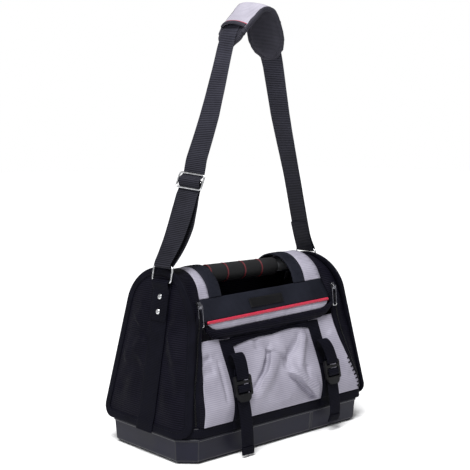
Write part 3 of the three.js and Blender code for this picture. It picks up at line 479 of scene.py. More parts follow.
# turned shape: rows of (distance along the axis, radius); a closed one has a bore
def lathe(name, start, axis, rows, finish, sides=48, closed=False):
    axis = unit(np.asarray(axis, float))
    across = unit(np.cross(axis, (0.3, 0.5, 0.81)))  # any direction that no axis here has
    out = np.cross(axis, across)
    rows = np.asarray(rows, float)
    many, tip = len(rows), 0.02 * mm
    centre = np.asarray(start) + rows[:, :1] * axis
    section = disc(1.0, sides)[None] * np.maximum(rows[:, 1], tip)[:, None, None]
    points, faces, uv = sweep(centre, allAlong(across, many), allAlong(out, many), section, closed, flatUv=False)
    uv[:, 0] = np.tile(np.arange(sides) / sides * 2 * math.pi * rows[:, 1].max(), many)
    uv[:, 1] = np.repeat(arcOf(rows), sides)
    return newPiece(name, points, faces, finish, uv)


# a run of stitches: slim beads half sunk along lines of (points, normals)
stitchLook = {"length": 2.7 * mm, "gap": 1.3 * mm, "radius": 0.42 * mm, "rise": 0.12 * mm}
beadSides = 6
beadWaist = 0.3  # a bead tapers from this share of its length, off its middle


def stitchRows(name, rows, slot="black_nylon", look=stitchLook):
    points, faces = [], []
    pitch, near = look["length"] + look["gap"], 0.3 * mm
    for line, normal in rows:
        arc = arcOf(line)
        at = np.arange(pitch / 2, arc[-1], pitch)
        if len(at) == 0:
            continue
        up = unit(readOff(normal, arc, at))
        run = unit(readOff(line, arc, at + near) - readOff(line, arc, at - near))
        side = unit(np.cross(up, run))
        spot = readOff(line, arc, at) + up * look["rise"]
        for c, r, s, u in zip(spot, run, side, up):
            tail = len(points)
            points.append(c - r * look["length"] / 2)
            for back in (-beadWaist, beadWaist):
                for angle in circleOf(beadSides):
                    off = s * math.cos(angle) + u * math.sin(angle)
                    points.append(c + r * look["length"] * back + off * look["radius"])
            points.append(c + r * look["length"] / 2)
            first, second, head = tail + 1, tail + 1 + beadSides, tail + 1 + 2 * beadSides
            for j in range(beadSides):
                k = (j + 1) % beadSides
                faces.append((tail, first + k, first + j))
                faces.append((first + j, first + k, second + k, second + j))
                faces.append((head, second + j, second + k))
    points = np.array(points)
    return settle(newPiece(name, points, faces, blackThread, points[:, [0, 2]]), slot)


def surfaceOf(piece):
    corners = [v.co[:] for v in piece.data.vertices]
    return BVHTree.FromPolygons(corners, [p.vertices[:] for p in piece.data.polygons])


rayStart, rayRun = -0.25, Vector((0, 1, 0))  # rays start at this y, in front of the bag


# points and normals where rays at the given x and z meet a surface from the front
def dropOn(surface, x, z):
    spots, normals = [], []
    for start in zip(x, z):
        spot, normal, _, _ = surface.ray_cast(Vector((start[0], rayStart, start[1])), rayRun)
        if spot is not None:
            spots.append(spot)
            normals.append(normal if normal.dot(rayRun) < 0 else -normal)
    return np.array(spots), np.array(normals)


# walls: the outer face of a CAD wall, smoothed, shaped and given its thickness again

bagSection = np.array([
    (-104.5, 54.5), (-107.5, 66), (-108.5, 82), (-103, 105), (-93, 130), (-81.5, 155), (-71.5, 180),
    (-67, 209), (-60, 225), (-52.5, 241), (-44, 262), (-24.5, 279.5), (0, 285.5),
]) * mm
farOff = 1e9


# distance over the section, so that the weave keeps its scale over the roof
def wallUv(points):
    arc = arcOf(bagSection)
    near = np.stack([-np.abs(points[:, 1]), points[:, 2]], axis=1)
    best, height = np.full(len(points), farOff), np.zeros(len(points))
    for i in range(len(bagSection) - 1):
        start, run = bagSection[i], bagSection[i + 1] - bagSection[i]
        t = np.clip((near - start) @ run / (run @ run), 0, 1)
        gap = np.linalg.norm(near - start - t[:, None] * run, axis=1)
        closer = gap < best
        best = np.where(closer, gap, best)
        height = np.where(closer, arc[i] + t * (arc[i + 1] - arc[i]), height)
    height = np.where(points[:, 1] > 0, 2 * arc[-1] - height, height)
    return np.stack([points[:, 0], height], axis=1)


rimTurn = 0.75  # faces belong to one skin while the cosine between them is above this


def outerSkin(node):
    points, triangles = nodePoints(node)
    corner = points[triangles]
    cross = crossOf(corner)
    area = np.linalg.norm(cross, axis=1)
    normal = cross / area[:, None]
    away = corner.mean(axis=1) - bagCore
    away[:, 0] = 0
    facing = (normal * unit(away)).sum(axis=1)
    sharing = {}
    for index, triangle in enumerate(triangles):
        for a, b in ((0, 1), (1, 2), (2, 0)):
            sharing.setdefault(frozenset((triangle[a], triangle[b])), []).append(index)
    beside = [[] for _ in triangles]
    for faces in sharing.values():
        if len(faces) == 2 and normal[faces[0]] @ normal[faces[1]] > rimTurn:
            beside[faces[0]].append(faces[1])
            beside[faces[1]].append(faces[0])
    start = int(np.argmax(area * np.maximum(facing, 0)))
    kept, front = {start}, [start]
    while front:
        for other in beside[front.pop()]:
            if other not in kept:
                kept.add(other)
                front.append(other)
    return points, triangles[sorted(kept)]


# keeps the sharp corners of an open edge sharp when the mesh is smoothed
def holdCorners(build, limit=math.radians(40)):
    crease = build.verts.layers.float.new("crease_vert")
    for corner in build.verts:
        rim = [e.other_vert(corner).co - corner.co for e in corner.link_edges if e.is_boundary]
        if len(rim) == 2 and rim[0].angle(rim[1]) < math.pi - limit:
            corner[crease] = 1.0


def skinPiece(name, node, finish, slot, levels, thick, shape):
    points, triangles = outerSkin(node)
    used, index = np.unique(triangles, return_inverse=True)
    build = startBuild(points[used], index.reshape(-1, 3))
    pairTriangles(build)
    for face in build.faces:
        face.smooth = True
    holdCorners(build)
    piece = builtPiece(name, build, finish)
    subdivide(piece, levels)
    spots, normals = readPoints(piece.data), readNormals(piece.data)
    setUv(piece.data, wallUv(spots))
    writePoints(piece.data, spots + normals * shape(spots)[:, None])
    thicken(piece, thick)
    return settle(piece, slot, node)


hardLook = {"flat": math.radians(0.6), "sharp": math.radians(24), "segments": 3, "profile": 0.6}


# hard pieces: a copy of the node with its edges broken, the breaks in a worn finish, or in bright steel as
# painted highlights
def hardPiece(name, node, finish, slot, width, edgeFinish=None):
    build = startBuild(*nodePoints(node))
    bmesh.ops.recalc_face_normals(build, faces=build.faces[:])
    bmesh.ops.dissolve_limit(build, angle_limit=hardLook["flat"], verts=build.verts[:], edges=build.edges[:])
    sharp = [e for e in build.edges if len(e.link_faces) == 2 and e.calc_face_angle(0) > hardLook["sharp"]]
    broken = bmesh.ops.bevel(
        build, geom=sharp, offset=width, segments=hardLook["segments"], profile=hardLook["profile"],
        affect="EDGES", clamp_overlap=True,
    )
    finishes = [finish]
    if edgeFinish is not None:
        finishes.append(edgeFinish)
        for face in broken["faces"]:
            face.material_index = 1
    return settle(builtPiece(name, build, *finishes), slot, node)


# round wire and other smooth pieces: the node's mesh, welded and smoothed
def roundPiece(name, node, finish, slot, levels=2, body="bag"):
    piece = newPiece(name, *nodePoints(node), finish)
    build = bmesh.new()
    build.from_mesh(piece.data)
    pairTriangles(build)
    build.to_mesh(piece.data)
    build.free()
    subdivide(piece, levels)
    return settle(piece, slot, node, body=body)


# webbing

webLook = {
    "step": 1.2 * mm, "rib": 0.1 * mm, "wave": 0.25 * mm, "waveSize": 35 * mm,
    "selvedge": 0.12 * mm, "selvedgeAt": 0.88, "selvedgeHalf": 0.05, "square": 10, "columns": 10,
}


# pairs of a strap node's short edges that make up its rings, with all its edges
def strapRings(points, triangles, width, thick):
    tiny = 0.02 * mm
    edges = np.unique(edgesOf(triangles), axis=0)
    length = np.linalg.norm(points[edges[:, 0]] - points[edges[:, 1]], axis=1)
    short = edges[np.abs(length - thick) < tiny]
    middle = points[short].mean(axis=1)
    upright = points[short[:, 1]] - points[short[:, 0]]
    maybe = []
    for i in range(len(short)):
        gap = middle - middle[i]
        lean = np.minimum(*[np.linalg.norm(upright + sign * upright[i], axis=1) for sign in (-1, 1)])
        wide = np.abs(np.linalg.norm(gap, axis=1) - width) < tiny
        square = np.abs(gap @ upright[i]) < 0.05 * thick * thick
        maybe += [(i, int(j)) for j in np.where(wide & square & (lean < tiny))[0] if j > i]
    rings = []
    while maybe:  # a corner belongs to one ring only, so the certain ones are taken first
        claims = {}
        for pair in maybe:
            for corner in (*short[pair[0]], *short[pair[1]]):
                claims.setdefault(corner, []).append(pair)
        sure = next((held[0] for held in claims.values() if len(held) == 1), maybe[0])
        rings.append(sure)
        spent = {*short[sure[0]], *short[sure[1]]}
        maybe = [pair for pair in maybe if not spent & {*short[pair[0]], *short[pair[1]]}]
    return rings, edges, short, middle, upright


# middle line of a strap node with its directions across and out, read from the node's own rings
def strapLine(node, width, thick, core):
    rings, edges, short, middle, upright = strapRings(*nodePoints(node), width, thick)
    ringOf = {corner: n for n, (i, j) in enumerate(rings) for corner in (*short[i], *short[j])}
    beside = [set() for _ in rings]
    for a, b in edges:
        if a in ringOf and b in ringOf and ringOf[a] != ringOf[b]:
            beside[ringOf[a]].add(ringOf[b])
            beside[ringOf[b]].add(ringOf[a])
    order = [next(n for n, near in enumerate(beside) if len(near) == 1)]
    while True:
        ahead = [n for n in beside[order[-1]] if n not in order]
        if not ahead:
            break
        order.append(ahead[0])
    centre, across, out = [], [], []
    for n in order:
        i, j = rings[n]
        centre.append((middle[i] + middle[j]) / 2)
        side, up = (middle[j] - middle[i]) / width, upright[i] / thick
        if across:
            side = side if side @ across[-1] > 0 else -side
            up = up if up @ out[-1] > 0 else -up
        across.append(side)
        out.append(up)
    centre, across, out = np.array(centre), np.array(across), np.array(out)
    half = len(order) // 2
    if out[half] @ (centre[half] - core) < 0:
        out = -out
    return centre, across, out


longSpan = 25 * mm


def finerLine(line, step):
    arc = arcOf(line[0])
    long = [np.linspace(a, b, 8)[1:-1] for a, b in zip(arc, arc[1:]) if b - a > longSpan]
    if long:  # a long straight span stays straight between its bends
        full = np.sort(np.concatenate([arc, *long]))
        line = [readOff(rows, arc, full) for rows in line]
        arc = arcOf(line[0])
    return lineAt(line, arc, np.linspace(0, arc[-1], max(3, int(round(arc[-1] / step)) + 1)))


def webSection(width, thick, columns):
    place = -np.cos(np.pi * np.arange(columns + 1) / columns)
    rise = np.maximum(1 - np.abs(place) ** webLook["square"], 0) ** 0.5 * thick / 2
    fromSelvedge = (np.abs(place) - webLook["selvedgeAt"]) / webLook["selvedgeHalf"]
    rise = rise + webLook["selvedge"] * np.exp(-(fromSelvedge ** 2))
    rise[0] = rise[-1] = 0
    over = np.stack([place * width / 2, rise], axis=1)
    under = np.stack([place * width / 2, -rise], axis=1)[-2:0:-1]
    return np.concatenate([over, under])


# ribbed webbing along a line: every second station stands proud
def webbingPiece(name, line, size, *nodes, seed, finish=blackWebbing):
    width, thick = size
    path = finerLine(line, webLook["step"])
    many = len(path[0])
    flat = webSection(width, thick, webLook["columns"])
    lift = np.where(np.arange(many) % 2, 1, -1) * webLook["rib"]
    section = np.repeat(flat[None], many, axis=0)
    section[..., 1] += np.sign(np.round(flat[:, 1] / mm, 2))[None] * lift[:, None]
    bow = noiseAt(path[0], webLook["waveSize"], seed) * webLook["wave"]
    section[..., 1] += bow[:, None] * (flat[None, :, 0] / (width / 2))
    return sweptPiece(name, path, section, finish, "black_webbing", *nodes)


print("helpers ready")


# tray

trayLook = {"edge": 0.9 * mm}
hardPiece("tray_shell", "base_tray", trayPlastic, "tray_plastic", trayLook["edge"], trayEdge)
print("tray made")


# hem tapes round the foot of the cloth

# the tape stands off the tray's cut corners by these amounts, at its left and right end
hemLook = {
    "thick": 3.1 * mm, "tall": 15 * mm, "rows": (3 * mm, 12 * mm), "stations": 260, "around": 28,
    "rounding": (0.35, 0.55), "standOff": {"front": (0, 15 * mm), "back": (13 * mm, 13 * mm)},
}


def hemPiece(side):
    low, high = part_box(side + "_hem")
    turn = high.x - (high.y - low.y)  # the corners run at 45 degrees
    face, end, sign = (low.y, high.y, 1) if side == "front" else (high.y, low.y, -1)
    offLeft, offRight = hemLook["standOff"][side]
    line = np.array([(-high.x, end), (-turn - offLeft, face), (turn + offRight, face), (high.x, end)])
    line = evenly(cutCorners(evenly(line, 40), 2), hemLook["stations"])
    run = unit(np.gradient(line, axis=0))
    half, deep = hemLook["tall"] / 2, hemLook["thick"] / 2
    out = np.stack([run[:, 1], -run[:, 0], np.zeros(len(run))], axis=1) * sign
    middle = np.full(len(line), (low.z + high.z) / 2)
    centre = np.stack([line[:, 0], line[:, 1], middle], axis=1) - out * deep
    up = allAlong((0, 0, 1), len(line))
    section = disc(1.0, hemLook["around"])
    section = np.sign(section) * np.abs(section) ** np.array(hemLook["rounding"]) * np.array((half, deep))
    sweptPiece(side + "_hem_tape", (centre, up, out), section, bindingTape, "black_nylon", side + "_hem")
    return [(centre + up * (offset - half) + out * deep, out) for offset in hemLook["rows"]]


stitchRows("hem_stitches", hemPiece("front") + hemPiece("back"))
print("hems made")


# creases of the cloth, in mm: a line, and how high, wide and deep the crease is there

def crease(*line, rise, gentle, steep, dip=0):
    return {"line": np.array(line, float), "rise": rise, "gentle": gentle, "steep": steep, "dip": dip}


foldTaper = 0.16  # share of its length over which a crease grows at each end
dipReach = 8


# height of a crease; it is gentle on the left of its line as that travels, steep on its right, and
# drops into a dip there
def foldHeight(x, z, fold):
    line = fold["line"]
    best, side, along = np.full(x.shape, farOff), np.ones(x.shape), np.zeros(x.shape)
    for i in range(len(line) - 1):
        run = line[i + 1] - line[i]
        t = np.clip(((x - line[i, 0]) * run[0] + (z - line[i, 1]) * run[1]) / (run @ run), 0, 1)
        gapX, gapZ = x - line[i, 0] - t * run[0], z - line[i, 1] - t * run[1]
        gap = np.hypot(gapX, gapZ)
        closer = gap < best
        best = np.where(closer, gap, best)
        side = np.where(closer, run[0] * gapZ - run[1] * gapX, side)
        along = np.where(closer, (i + t) / (len(line) - 1), along)
    width = np.where(side > 0, fold["gentle"], fold["steep"])
    ridge = fold["rise"] * np.exp(-((best / width) ** 2))
    near = best / fold["steep"]
    dip = np.where(side > 0, 0, -fold["dip"] * near * np.exp(1 - near) * (near < dipReach))
    return ease(along / foldTaper) * ease((1 - along) / foldTaper) * (ridge + dip)


# end boards: cloth over a stiff board, binding tape round it, webbing and ring

endLook = {
    "rings": 30, "rimRings": 6, "rimShare": 0.9, "shares": (0.87, 0.03), "around": 260, "reach": 85 * mm,
    "bulge": 2.6 * mm, "bulgeRim": 30 * mm, "bulgeWeb": 26 * mm, "foldRim": 14 * mm, "foldWeb": 10 * mm,
    "crease": 1.5 * mm, "creaseSize": 38 * mm, "seed": {"left": 3, "right": 4}, "board": 2.6 * mm,
    "webHalf": 21 * mm, "tapeCentre": 5.3 * mm, "tapeHalf": 4 * mm, "stitchAt": -4.6 * mm, "stitchLift": 1.6 * mm,
    "rimFold": {"left": 0.75, "right": 0.0}, "foldFoot": 76 * mm, "foldLean": 0.119, "foldSoft": 7 * mm,
    "foldEnd": (150 * mm, 215 * mm),
}
# soft creases of the end cloth, as lines of (y, height over the board's foot)
endFolds = {
    "left": [
        crease((-27, 150), (-48, 128), (-66, 96), rise=4.6, gentle=12, steep=9),
        crease((-30, 112), (-52, 76), (-62, 40), rise=-3.6, gentle=11, steep=11),
        crease((16, 128), (38, 106), (66, 88), rise=4.6, gentle=9, steep=12),
        crease((22, 92), (48, 70), (70, 34), rise=-3.4, gentle=11, steep=11),
        crease((24, 176), (46, 150), rise=3.0, gentle=9, steep=11),
    ],
    "right": [crease((-30, 140), (-60, 96), rise=2.0, gentle=13, steep=13)],
}
# binding: a flap over the cloth's edge and a rounded body behind it, as (outwards, off the board)
tapeSection = np.array([
    (-7.4, 0.35), (-7.6, 0.8), (-7.1, 1.35), (-5.8, 1.65), (-4.6, 1.6), (-3.2, 1.85), (0, 2.1), (3, 1.8),
    (4.6, 1.0), (5.1, -0.4), (5, -2), (4.4, -3.2), (3, -3.65), (-3.5, -3.7), (-4.8, -3.4), (-5, -2), (-5, 0.2),
]) * mm


def boardOf(side):
    points, triangles = nodePoints("end_panel_" + side)
    sign = -1 if side == "left" else 1
    cross = crossOf(points[triangles])
    outward = unit(cross[np.argmax(cross[:, 0] * sign)])
    upward = unit(np.array((0, 0, 1.0)) - outward * outward[2])
    level = (points @ outward).max()
    face = points[points @ outward > level - weldGap]
    flat = np.stack([face[:, 1], face @ upward], axis=1)
    spoke = flat - flat.mean(axis=0)
    loop = flat[np.argsort(np.arctan2(spoke[:, 1], spoke[:, 0]))]
    loop = evenly(cutCorners(loop, 2, closed=True), endLook["around"], closed=True)
    return {"outward": outward, "upward": upward, "level": level, "loop": loop, "fold": endLook["rimFold"][side]}


def onBoard(board, flat, lift):
    side = np.array((0, 1.0, 0))
    off = (board["level"] + np.asarray(lift))[..., None] * board["outward"]
    return flat[..., :1] * side + flat[..., 1:2] * board["upward"] + off


# how far a place near the front rim of a board is folded in, towards the middle of the bag
def rimFold(board, flat):
    height = flat[..., 1] - board["loop"][:, 1].min()
    past = -flat[..., 0] - (endLook["foldFoot"] - endLook["foldLean"] * height)
    soft = endLook["foldSoft"]
    low, high = endLook["foldEnd"]
    return board["fold"] * (past + np.sqrt(past ** 2 + soft ** 2)) / 2 * ease((high - height) / (high - low))


def onFolded(board, flat, lift=0):
    return onBoard(board, flat, lift - rimFold(board, flat))


def endCloth(side, board):
    loop = board["loop"]
    many, middle, rimRings = len(loop), loop.mean(axis=0), endLook["rimRings"]
    inner = np.linspace(*endLook["shares"], endLook["rings"] - rimRings)
    share = np.concatenate([np.linspace(1, endLook["rimShare"], rimRings), inner])
    flat = (middle + share[:, None, None] * (loop - middle)).reshape(-1, 2)
    rim = np.repeat(1 - share, many) * endLook["reach"]
    low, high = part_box("end_webbing_" + side)
    besideWeb = np.abs(flat[:, 0] - (low.y + high.y) / 2) - endLook["webHalf"]
    spots = np.stack([flat[:, 0], flat[:, 1] * 0.5, np.zeros(len(flat))], axis=1)
    ripple = noiseAt(spots, endLook["creaseSize"], endLook["seed"][side])
    lift = ease(rim / endLook["bulgeRim"]) * ease(besideWeb / endLook["bulgeWeb"])
    lift = lift * (endLook["bulge"] + endLook["crease"] * ripple * 2)
    height = (flat[:, 1] - loop[:, 1].min()) / mm
    folds = sum(foldHeight(flat[:, 0] / mm, height, fold) for fold in endFolds[side])
    lift = lift + folds * ease(rim / endLook["foldRim"]) * ease(besideWeb / endLook["foldWeb"]) * mm
    faces = gridFaces(len(share), many, ring=True)
    faces.append(tuple((len(share) - 1) * many + j for j in range(many)))
    cloth = newPiece("end_cloth_" + side, onFolded(board, flat, lift), faces, blackNylon, flat)
    if np.array(cloth.data.polygons[0].normal) @ board["outward"] < 0:
        cloth.data.flip_normals()
    thicken(cloth, endLook["board"])
    settle(cloth, "black_nylon", "end_panel_" + side)


# the tape round a board; gives back the line of its stitches
def endTape(side, board):
    run = runRound(board["loop"])
    away = np.stack([run[:, 1], -run[:, 0]], axis=1)  # the loop runs anticlockwise
    edge = board["loop"] + away * endLook["tapeCentre"]
    centre = onFolded(board, edge)
    inner, outer = [onFolded(board, edge + away * step * endLook["tapeHalf"]) for step in (-1, 1)]
    across = unit(outer - inner)
    out = unit(np.cross(across, runRound(centre)))
    out = out * np.sign((out * board["outward"]).sum(axis=1, keepdims=True))
    path, node = (centre, across, out), "end_binding_" + side
    sweptPiece("end_tape_" + side, path, tapeSection, bindingTape, "black_nylon", node, closed=True)
    seam = centre + across * endLook["stitchAt"] + out * endLook["stitchLift"]
    return closeUp(seam), closeUp(out)


boards = {side: boardOf(side) for side in bothSides}
endRows = []
for side in bothSides:
    endCloth(side, boards[side])
    endRows.append(endTape(side, boards[side]))

endWebLook = {"size": (40 * mm, 1.6 * mm), "seed": 5}
rivetCap = np.array([
    (-1.0, 4.3), (-0.2, 4.3), (0.3, 4.1), (0.7, 3.4), (0.95, 2.4), (1.0, 1.5), (0.85, 1.2), (0.8, 0.02),
]) * mm
for side in bothSides:
    node = "end_webbing_" + side
    line = strapLine(node, *endWebLook["size"], bagCore)
    webbingPiece("end_strap_" + side, line, endWebLook["size"], node, seed=endWebLook["seed"])
    roundPiece("ring_wire_" + side, "ring_" + side, steel, "steel")
    for level in ("upper", "lower"):
        node = f"rivet_{side}_{level}"
        low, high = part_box(node)
        centre = np.array((low + high) / 2)
        rivet = lathe(f"rivet_cap_{side}_{level}", centre, boards[side]["outward"], rivetCap, steel)
        settle(rivet, "steel", node)
print("ends made")


# grey covers

# creases of the front, as lines of (x, z)
coverFolds = [
    crease((-23, 152), (-36, 131), (-47, 115), (-64, 97), rise=3.4, gentle=5, steep=10),
    crease((-16, 153), (-12, 143), (-21, 129), (-33, 116), (-50, 105), (-75, 85),
           rise=5.6, gentle=11, steep=2.8, dip=5.4),
    crease((-36, 170), (-39, 150), rise=-3.0, gentle=6, steep=6),
    crease((-14, 150), (1, 143), (20, 135), rise=3.2, gentle=10, steep=4, dip=2.0),
    crease((64, 174), (53, 156), (37, 142), (25, 134), (14, 121), (14, 108), rise=-5.4, gentle=4, steep=7),
    crease((76, 168), (49, 134), (32, 106), rise=4.2, gentle=10, steep=6),
    crease((4, 116), (31, 98), (50, 82), (68, 67), (90, 58), rise=7.4, gentle=15, steep=2.6, dip=6.4),
    crease((60, 116), (50, 93), rise=-2.2, gentle=5, steep=5),
    crease((-160, 146), (-130, 152), rise=-3.2, gentle=6, steep=4),
    crease((-162, 130), (-132, 134), rise=-2.6, gentle=6, steep=5),
    crease((-120, 152), (-122, 120), (-120, 80), rise=-2.2, gentle=7, steep=4),
    crease((126, 160), (138, 132), (154, 80), rise=3.4, gentle=12, steep=7),
    crease((-60, 72), (-20, 66), (20, 70), rise=1.6, gentle=7, steep=5, dip=0.8),
]
# the cloth lies flat beside the straps and at its seams; (place, distance) pairs say where it starts to
coverLook = {
    "thick": 1.8 * mm, "levels": 3, "ripple": 0.5, "rippleSize": 26 * mm, "fine": 0.22, "fineSize": 9 * mm,
    "strapX": 97.5, "strapClear": 17, "strapFade": 10, "foot": (54, 8), "head": (180, 10), "end": (170, 6),
    "endShare": 0.3, "keep": 0.7,
}


def coverShape(folds, seed):
    look = coverLook

    def shape(points):
        x, z = points[:, 0] / mm, points[:, 2] / mm
        lift = look["ripple"] * noiseAt(points, look["rippleSize"], seed)
        lift = lift + look["fine"] * noiseAt(points, look["fineSize"], seed + 1)
        for fold in folds:
            lift = lift + foldHeight(x, z, fold)
        clear = ease((np.abs(np.abs(x) - look["strapX"]) - look["strapClear"]) / look["strapFade"])
        upright = ease((z - look["foot"][0]) / look["foot"][1]) * ease((look["head"][0] - z) / look["head"][1])
        endwise = ease((look["end"][0] - np.abs(x)) / look["end"][1])
        return lift * clear * upright * np.maximum(endwise, look["endShare"]) * mm
    return shape


def coverPiece(side, folds, seed):
    shape = coverShape(folds, seed)
    finish, levels, thick = (greyCloth, "grey_cloth"), coverLook["levels"], coverLook["thick"]
    return skinPiece(side + "_wall", side + "_cover", *finish, levels, thick, shape)


frontWall = coverPiece("front", coverFolds, 11)
modify(frontWall, "DECIMATE", ratio=coverLook["keep"])  # fewer triangles where it is flat
backWall = coverPiece("back", [], 17)
print("covers made")


# roof: grey strips, black arches with sewn ribs, zip strips at the ends

# ripples are (size, height, seed)
roofLook = {
    "thick": 1.8 * mm, "archThick": 2.6 * mm, "ribPitch": 4.4 * mm, "rib": 0.45 * mm, "ribEnd": 4 * mm,
    "greyRipple": (22 * mm, 0.5 * mm, 21), "stripRipple": (24 * mm, 0.9 * mm, 25),
    "level": 8 * mm, "stripEdge": 4 * mm, "stripLeast": 8 * mm,
}


def softRipple(size, height, seed):
    def shape(points):
        return noiseAt(points, size, seed) * height
    return shape


def archShape(points):
    x, soft = points[:, 0], roofLook["ribEnd"]
    inside = ease((x - x.min()) / soft) * ease((x.max() - x) / soft)
    ribs = np.cos(2 * math.pi * (x - x.min()) / roofLook["ribPitch"])
    return inside * ribs * roofLook["rib"]


# moves the outer edge of a zip strip with the folded rim of its board, and leaves its inner edge
def followRim(strip, board):
    spots, edge = readPoints(strip.data), roofLook["stripEdge"]
    deep = board["level"] - spots @ board["outward"]
    fold = rimFold(board, np.stack([spots[:, 1], spots @ board["upward"]], axis=1))
    level = np.round(spots[:, 2] / roofLook["level"]).astype(int)
    widest = np.zeros(level.max() + 1)
    front = spots[:, 1] < 0
    np.maximum.at(widest, level[front], deep[front])
    wide = np.interp(spots[:, 2] / roofLook["level"], np.arange(len(widest)), widest) - edge
    share = np.clip(1 - (deep - edge) / np.maximum(wide, roofLook["stripLeast"]), 0, 1)
    writePoints(strip.data, spots - board["outward"] * (fold * share)[:, None])


for side in bothSides:
    thick, ripple = roofLook["thick"], softRipple(*roofLook["greyRipple"])
    skinPiece("roof_grey_" + side, "roof_strip_" + side, greyCloth, "grey_cloth", 2, thick, ripple)
    # the arch takes the band nylon that is painted lighter, as painted light
    skinPiece("roof_arch_" + side, "arch_" + side, paintedLitBandNylon, "black_nylon", 3, roofLook["archThick"], archShape)
    ripple = softRipple(*roofLook["stripRipple"])
    strip = skinPiece("zip_strip_" + side, "gusset_" + side, blackNylon, "black_nylon", 2, thick, ripple)
    followRim(strip, boards[side])
print("roof made")


# bands, bare patch, piping, lip and roll of the front pocket

bandLook = {"thick": 2.2 * mm, "ripple": (30 * mm, 0.35 * mm), "seed": {"front": 31, "back": 33}}
for side, seed in bandLook["seed"].items():
    ripple = softRipple(*bandLook["ripple"], seed)
    # the band takes the nylon that is painted lighter, as painted light
    skinPiece("band_" + side, side + "_band", paintedLitBandNylon, "black_nylon", 2, bandLook["thick"], ripple)

patchLook = {"thick": 1.1 * mm, "rim": 2.2 * mm, "lift": 0.45 * mm, "outerEdge": 0.6 * mm, "innerEdge": 0.8 * mm}


# a raised rim round a plain middle
def patchShape(points):
    low, high = points.min(axis=0), points.max(axis=0)
    gapX = np.minimum(points[:, 0] - low[0], high[0] - points[:, 0])
    gapZ = np.minimum(points[:, 2] - low[2], high[2] - points[:, 2]) * 1.1  # the band leans back
    gap = np.minimum(gapX, gapZ)
    return patchLook["lift"] * (
        ease(gap / patchLook["outerEdge"]) - ease((gap - patchLook["rim"]) / patchLook["innerEdge"])
    )


skinPiece("bare_patch", "label_patch", rubber, "label_rubber", 4, patchLook["thick"], patchShape)

# dark lining inside the back band, which stands a little above its edge and closes the seam under the roof
liningLook = {
    "x": (-147 * mm, 146 * mm), "y": 46 * mm, "z": (214 * mm, 247 * mm), "lean": 8 * mm, "tilt": 0.028,
    "thick": 1.4 * mm, "rippleSize": 20 * mm, "ripple": 1.2 * mm, "columns": 60, "rows": 9,
}
stations, shares = np.linspace(*liningLook["x"], liningLook["columns"]), np.linspace(0, 1, liningLook["rows"])
x, share = [g.ravel() for g in np.meshgrid(stations, shares)]
low, high = liningLook["z"]
spots = np.stack([
    x, liningLook["y"] + liningLook["lean"] * (1 - share), low + (high - low) * share + liningLook["tilt"] * x,
], axis=1)
spots[:, 1] += noiseAt(spots, liningLook["rippleSize"], 35) * liningLook["ripple"] * share
faces = gridFaces(liningLook["rows"], liningLook["columns"])
lining = newPiece("mouth_lining", spots, faces, blackNylon, spots[:, [0, 2]])
thicken(lining, liningLook["thick"])
settle(lining, "black_nylon")

pipingLook = {
    "radius": 2.5 * mm, "cadRadius": 1.9 * mm, "pucker": 0.15 * mm, "puckerSize": 5 * mm,
    "cap": 2 * mm, "tip": 0.02, "stations": 200, "around": 18,
}
low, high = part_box("front_piping")
many = pipingLook["stations"]
tilt = (high.z - low.z - 2 * pipingLook["cadRadius"]) / (high.x - low.x)
stations = np.linspace(low.x, high.x, many)
middle = (low + high) / 2
centre = np.stack([stations, np.full(many, middle.y), middle.z + tilt * (stations - middle.x)], axis=1)
toEnd = np.minimum(stations - low.x, high.x - stations)
past = np.maximum(pipingLook["cap"] - toEnd, 0) / pipingLook["cap"]
cap = np.sqrt(np.clip(1 - past ** 2, pipingLook["tip"], 1))
pucker = 1 + noiseAt(centre, pipingLook["puckerSize"], 41) * pipingLook["pucker"] / pipingLook["radius"]
section = disc(pipingLook["radius"], pipingLook["around"])[None] * (cap * pucker)[:, None, None]
path = (centre, allAlong((0, 1, 0), many), allAlong((0, 0, 1), many))
sweptPiece("red_piping", path, section, redCord, "red_cord", "front_piping", flatUv=False)

flapLook = {"thick": 1.6 * mm, "crown": 0.9, "pucker": 0.9, "puckerSize": 8 * mm, "gather": (1, 0.2, 0.2)}


def flapShape(points):
    low, high = points[:, 2].min(), points[:, 2].max()
    share = (points[:, 2] - low) / (high - low)
    pucker = noiseAt(points * np.array(flapLook["gather"]), flapLook["puckerSize"], 43)
    crown = flapLook["crown"] + flapLook["pucker"] * pucker
    return (np.sin(np.pi * np.clip(share, 0, 1)) * crown) * mm


skinPiece("pocket_flap", "pocket_lip", greyCloth, "grey_cloth", 3, flapLook["thick"], flapShape)

rollLook = {
    "gather": 0.7 * mm, "gatherSize": 9 * mm, "squeeze": (1, 0.25, 0.25), "swell": 0.5 * mm, "swellSize": 24 * mm,
    "sag": 2.6 * mm,
}
roll = roundPiece("pocket_roll_cloth", "pocket_roll", blackNylon, "black_nylon", 3)
spots, normals = readPoints(roll.data), readNormals(roll.data)
lift = rollLook["gather"] * noiseAt(spots * np.array(rollLook["squeeze"]), rollLook["gatherSize"], 47)
lift = lift + rollLook["swell"] * noiseAt(spots, rollLook["swellSize"], 48)
spots = spots + normals * lift[:, None]
spots[:, 2] -= np.maximum(-normals[:, 2], 0) * rollLook["sag"]  # it sags a little underneath
writePoints(roll.data, spots)
setUv(roll.data, np.stack([spots[:, 0], spots[:, 1] + spots[:, 2]], axis=1))

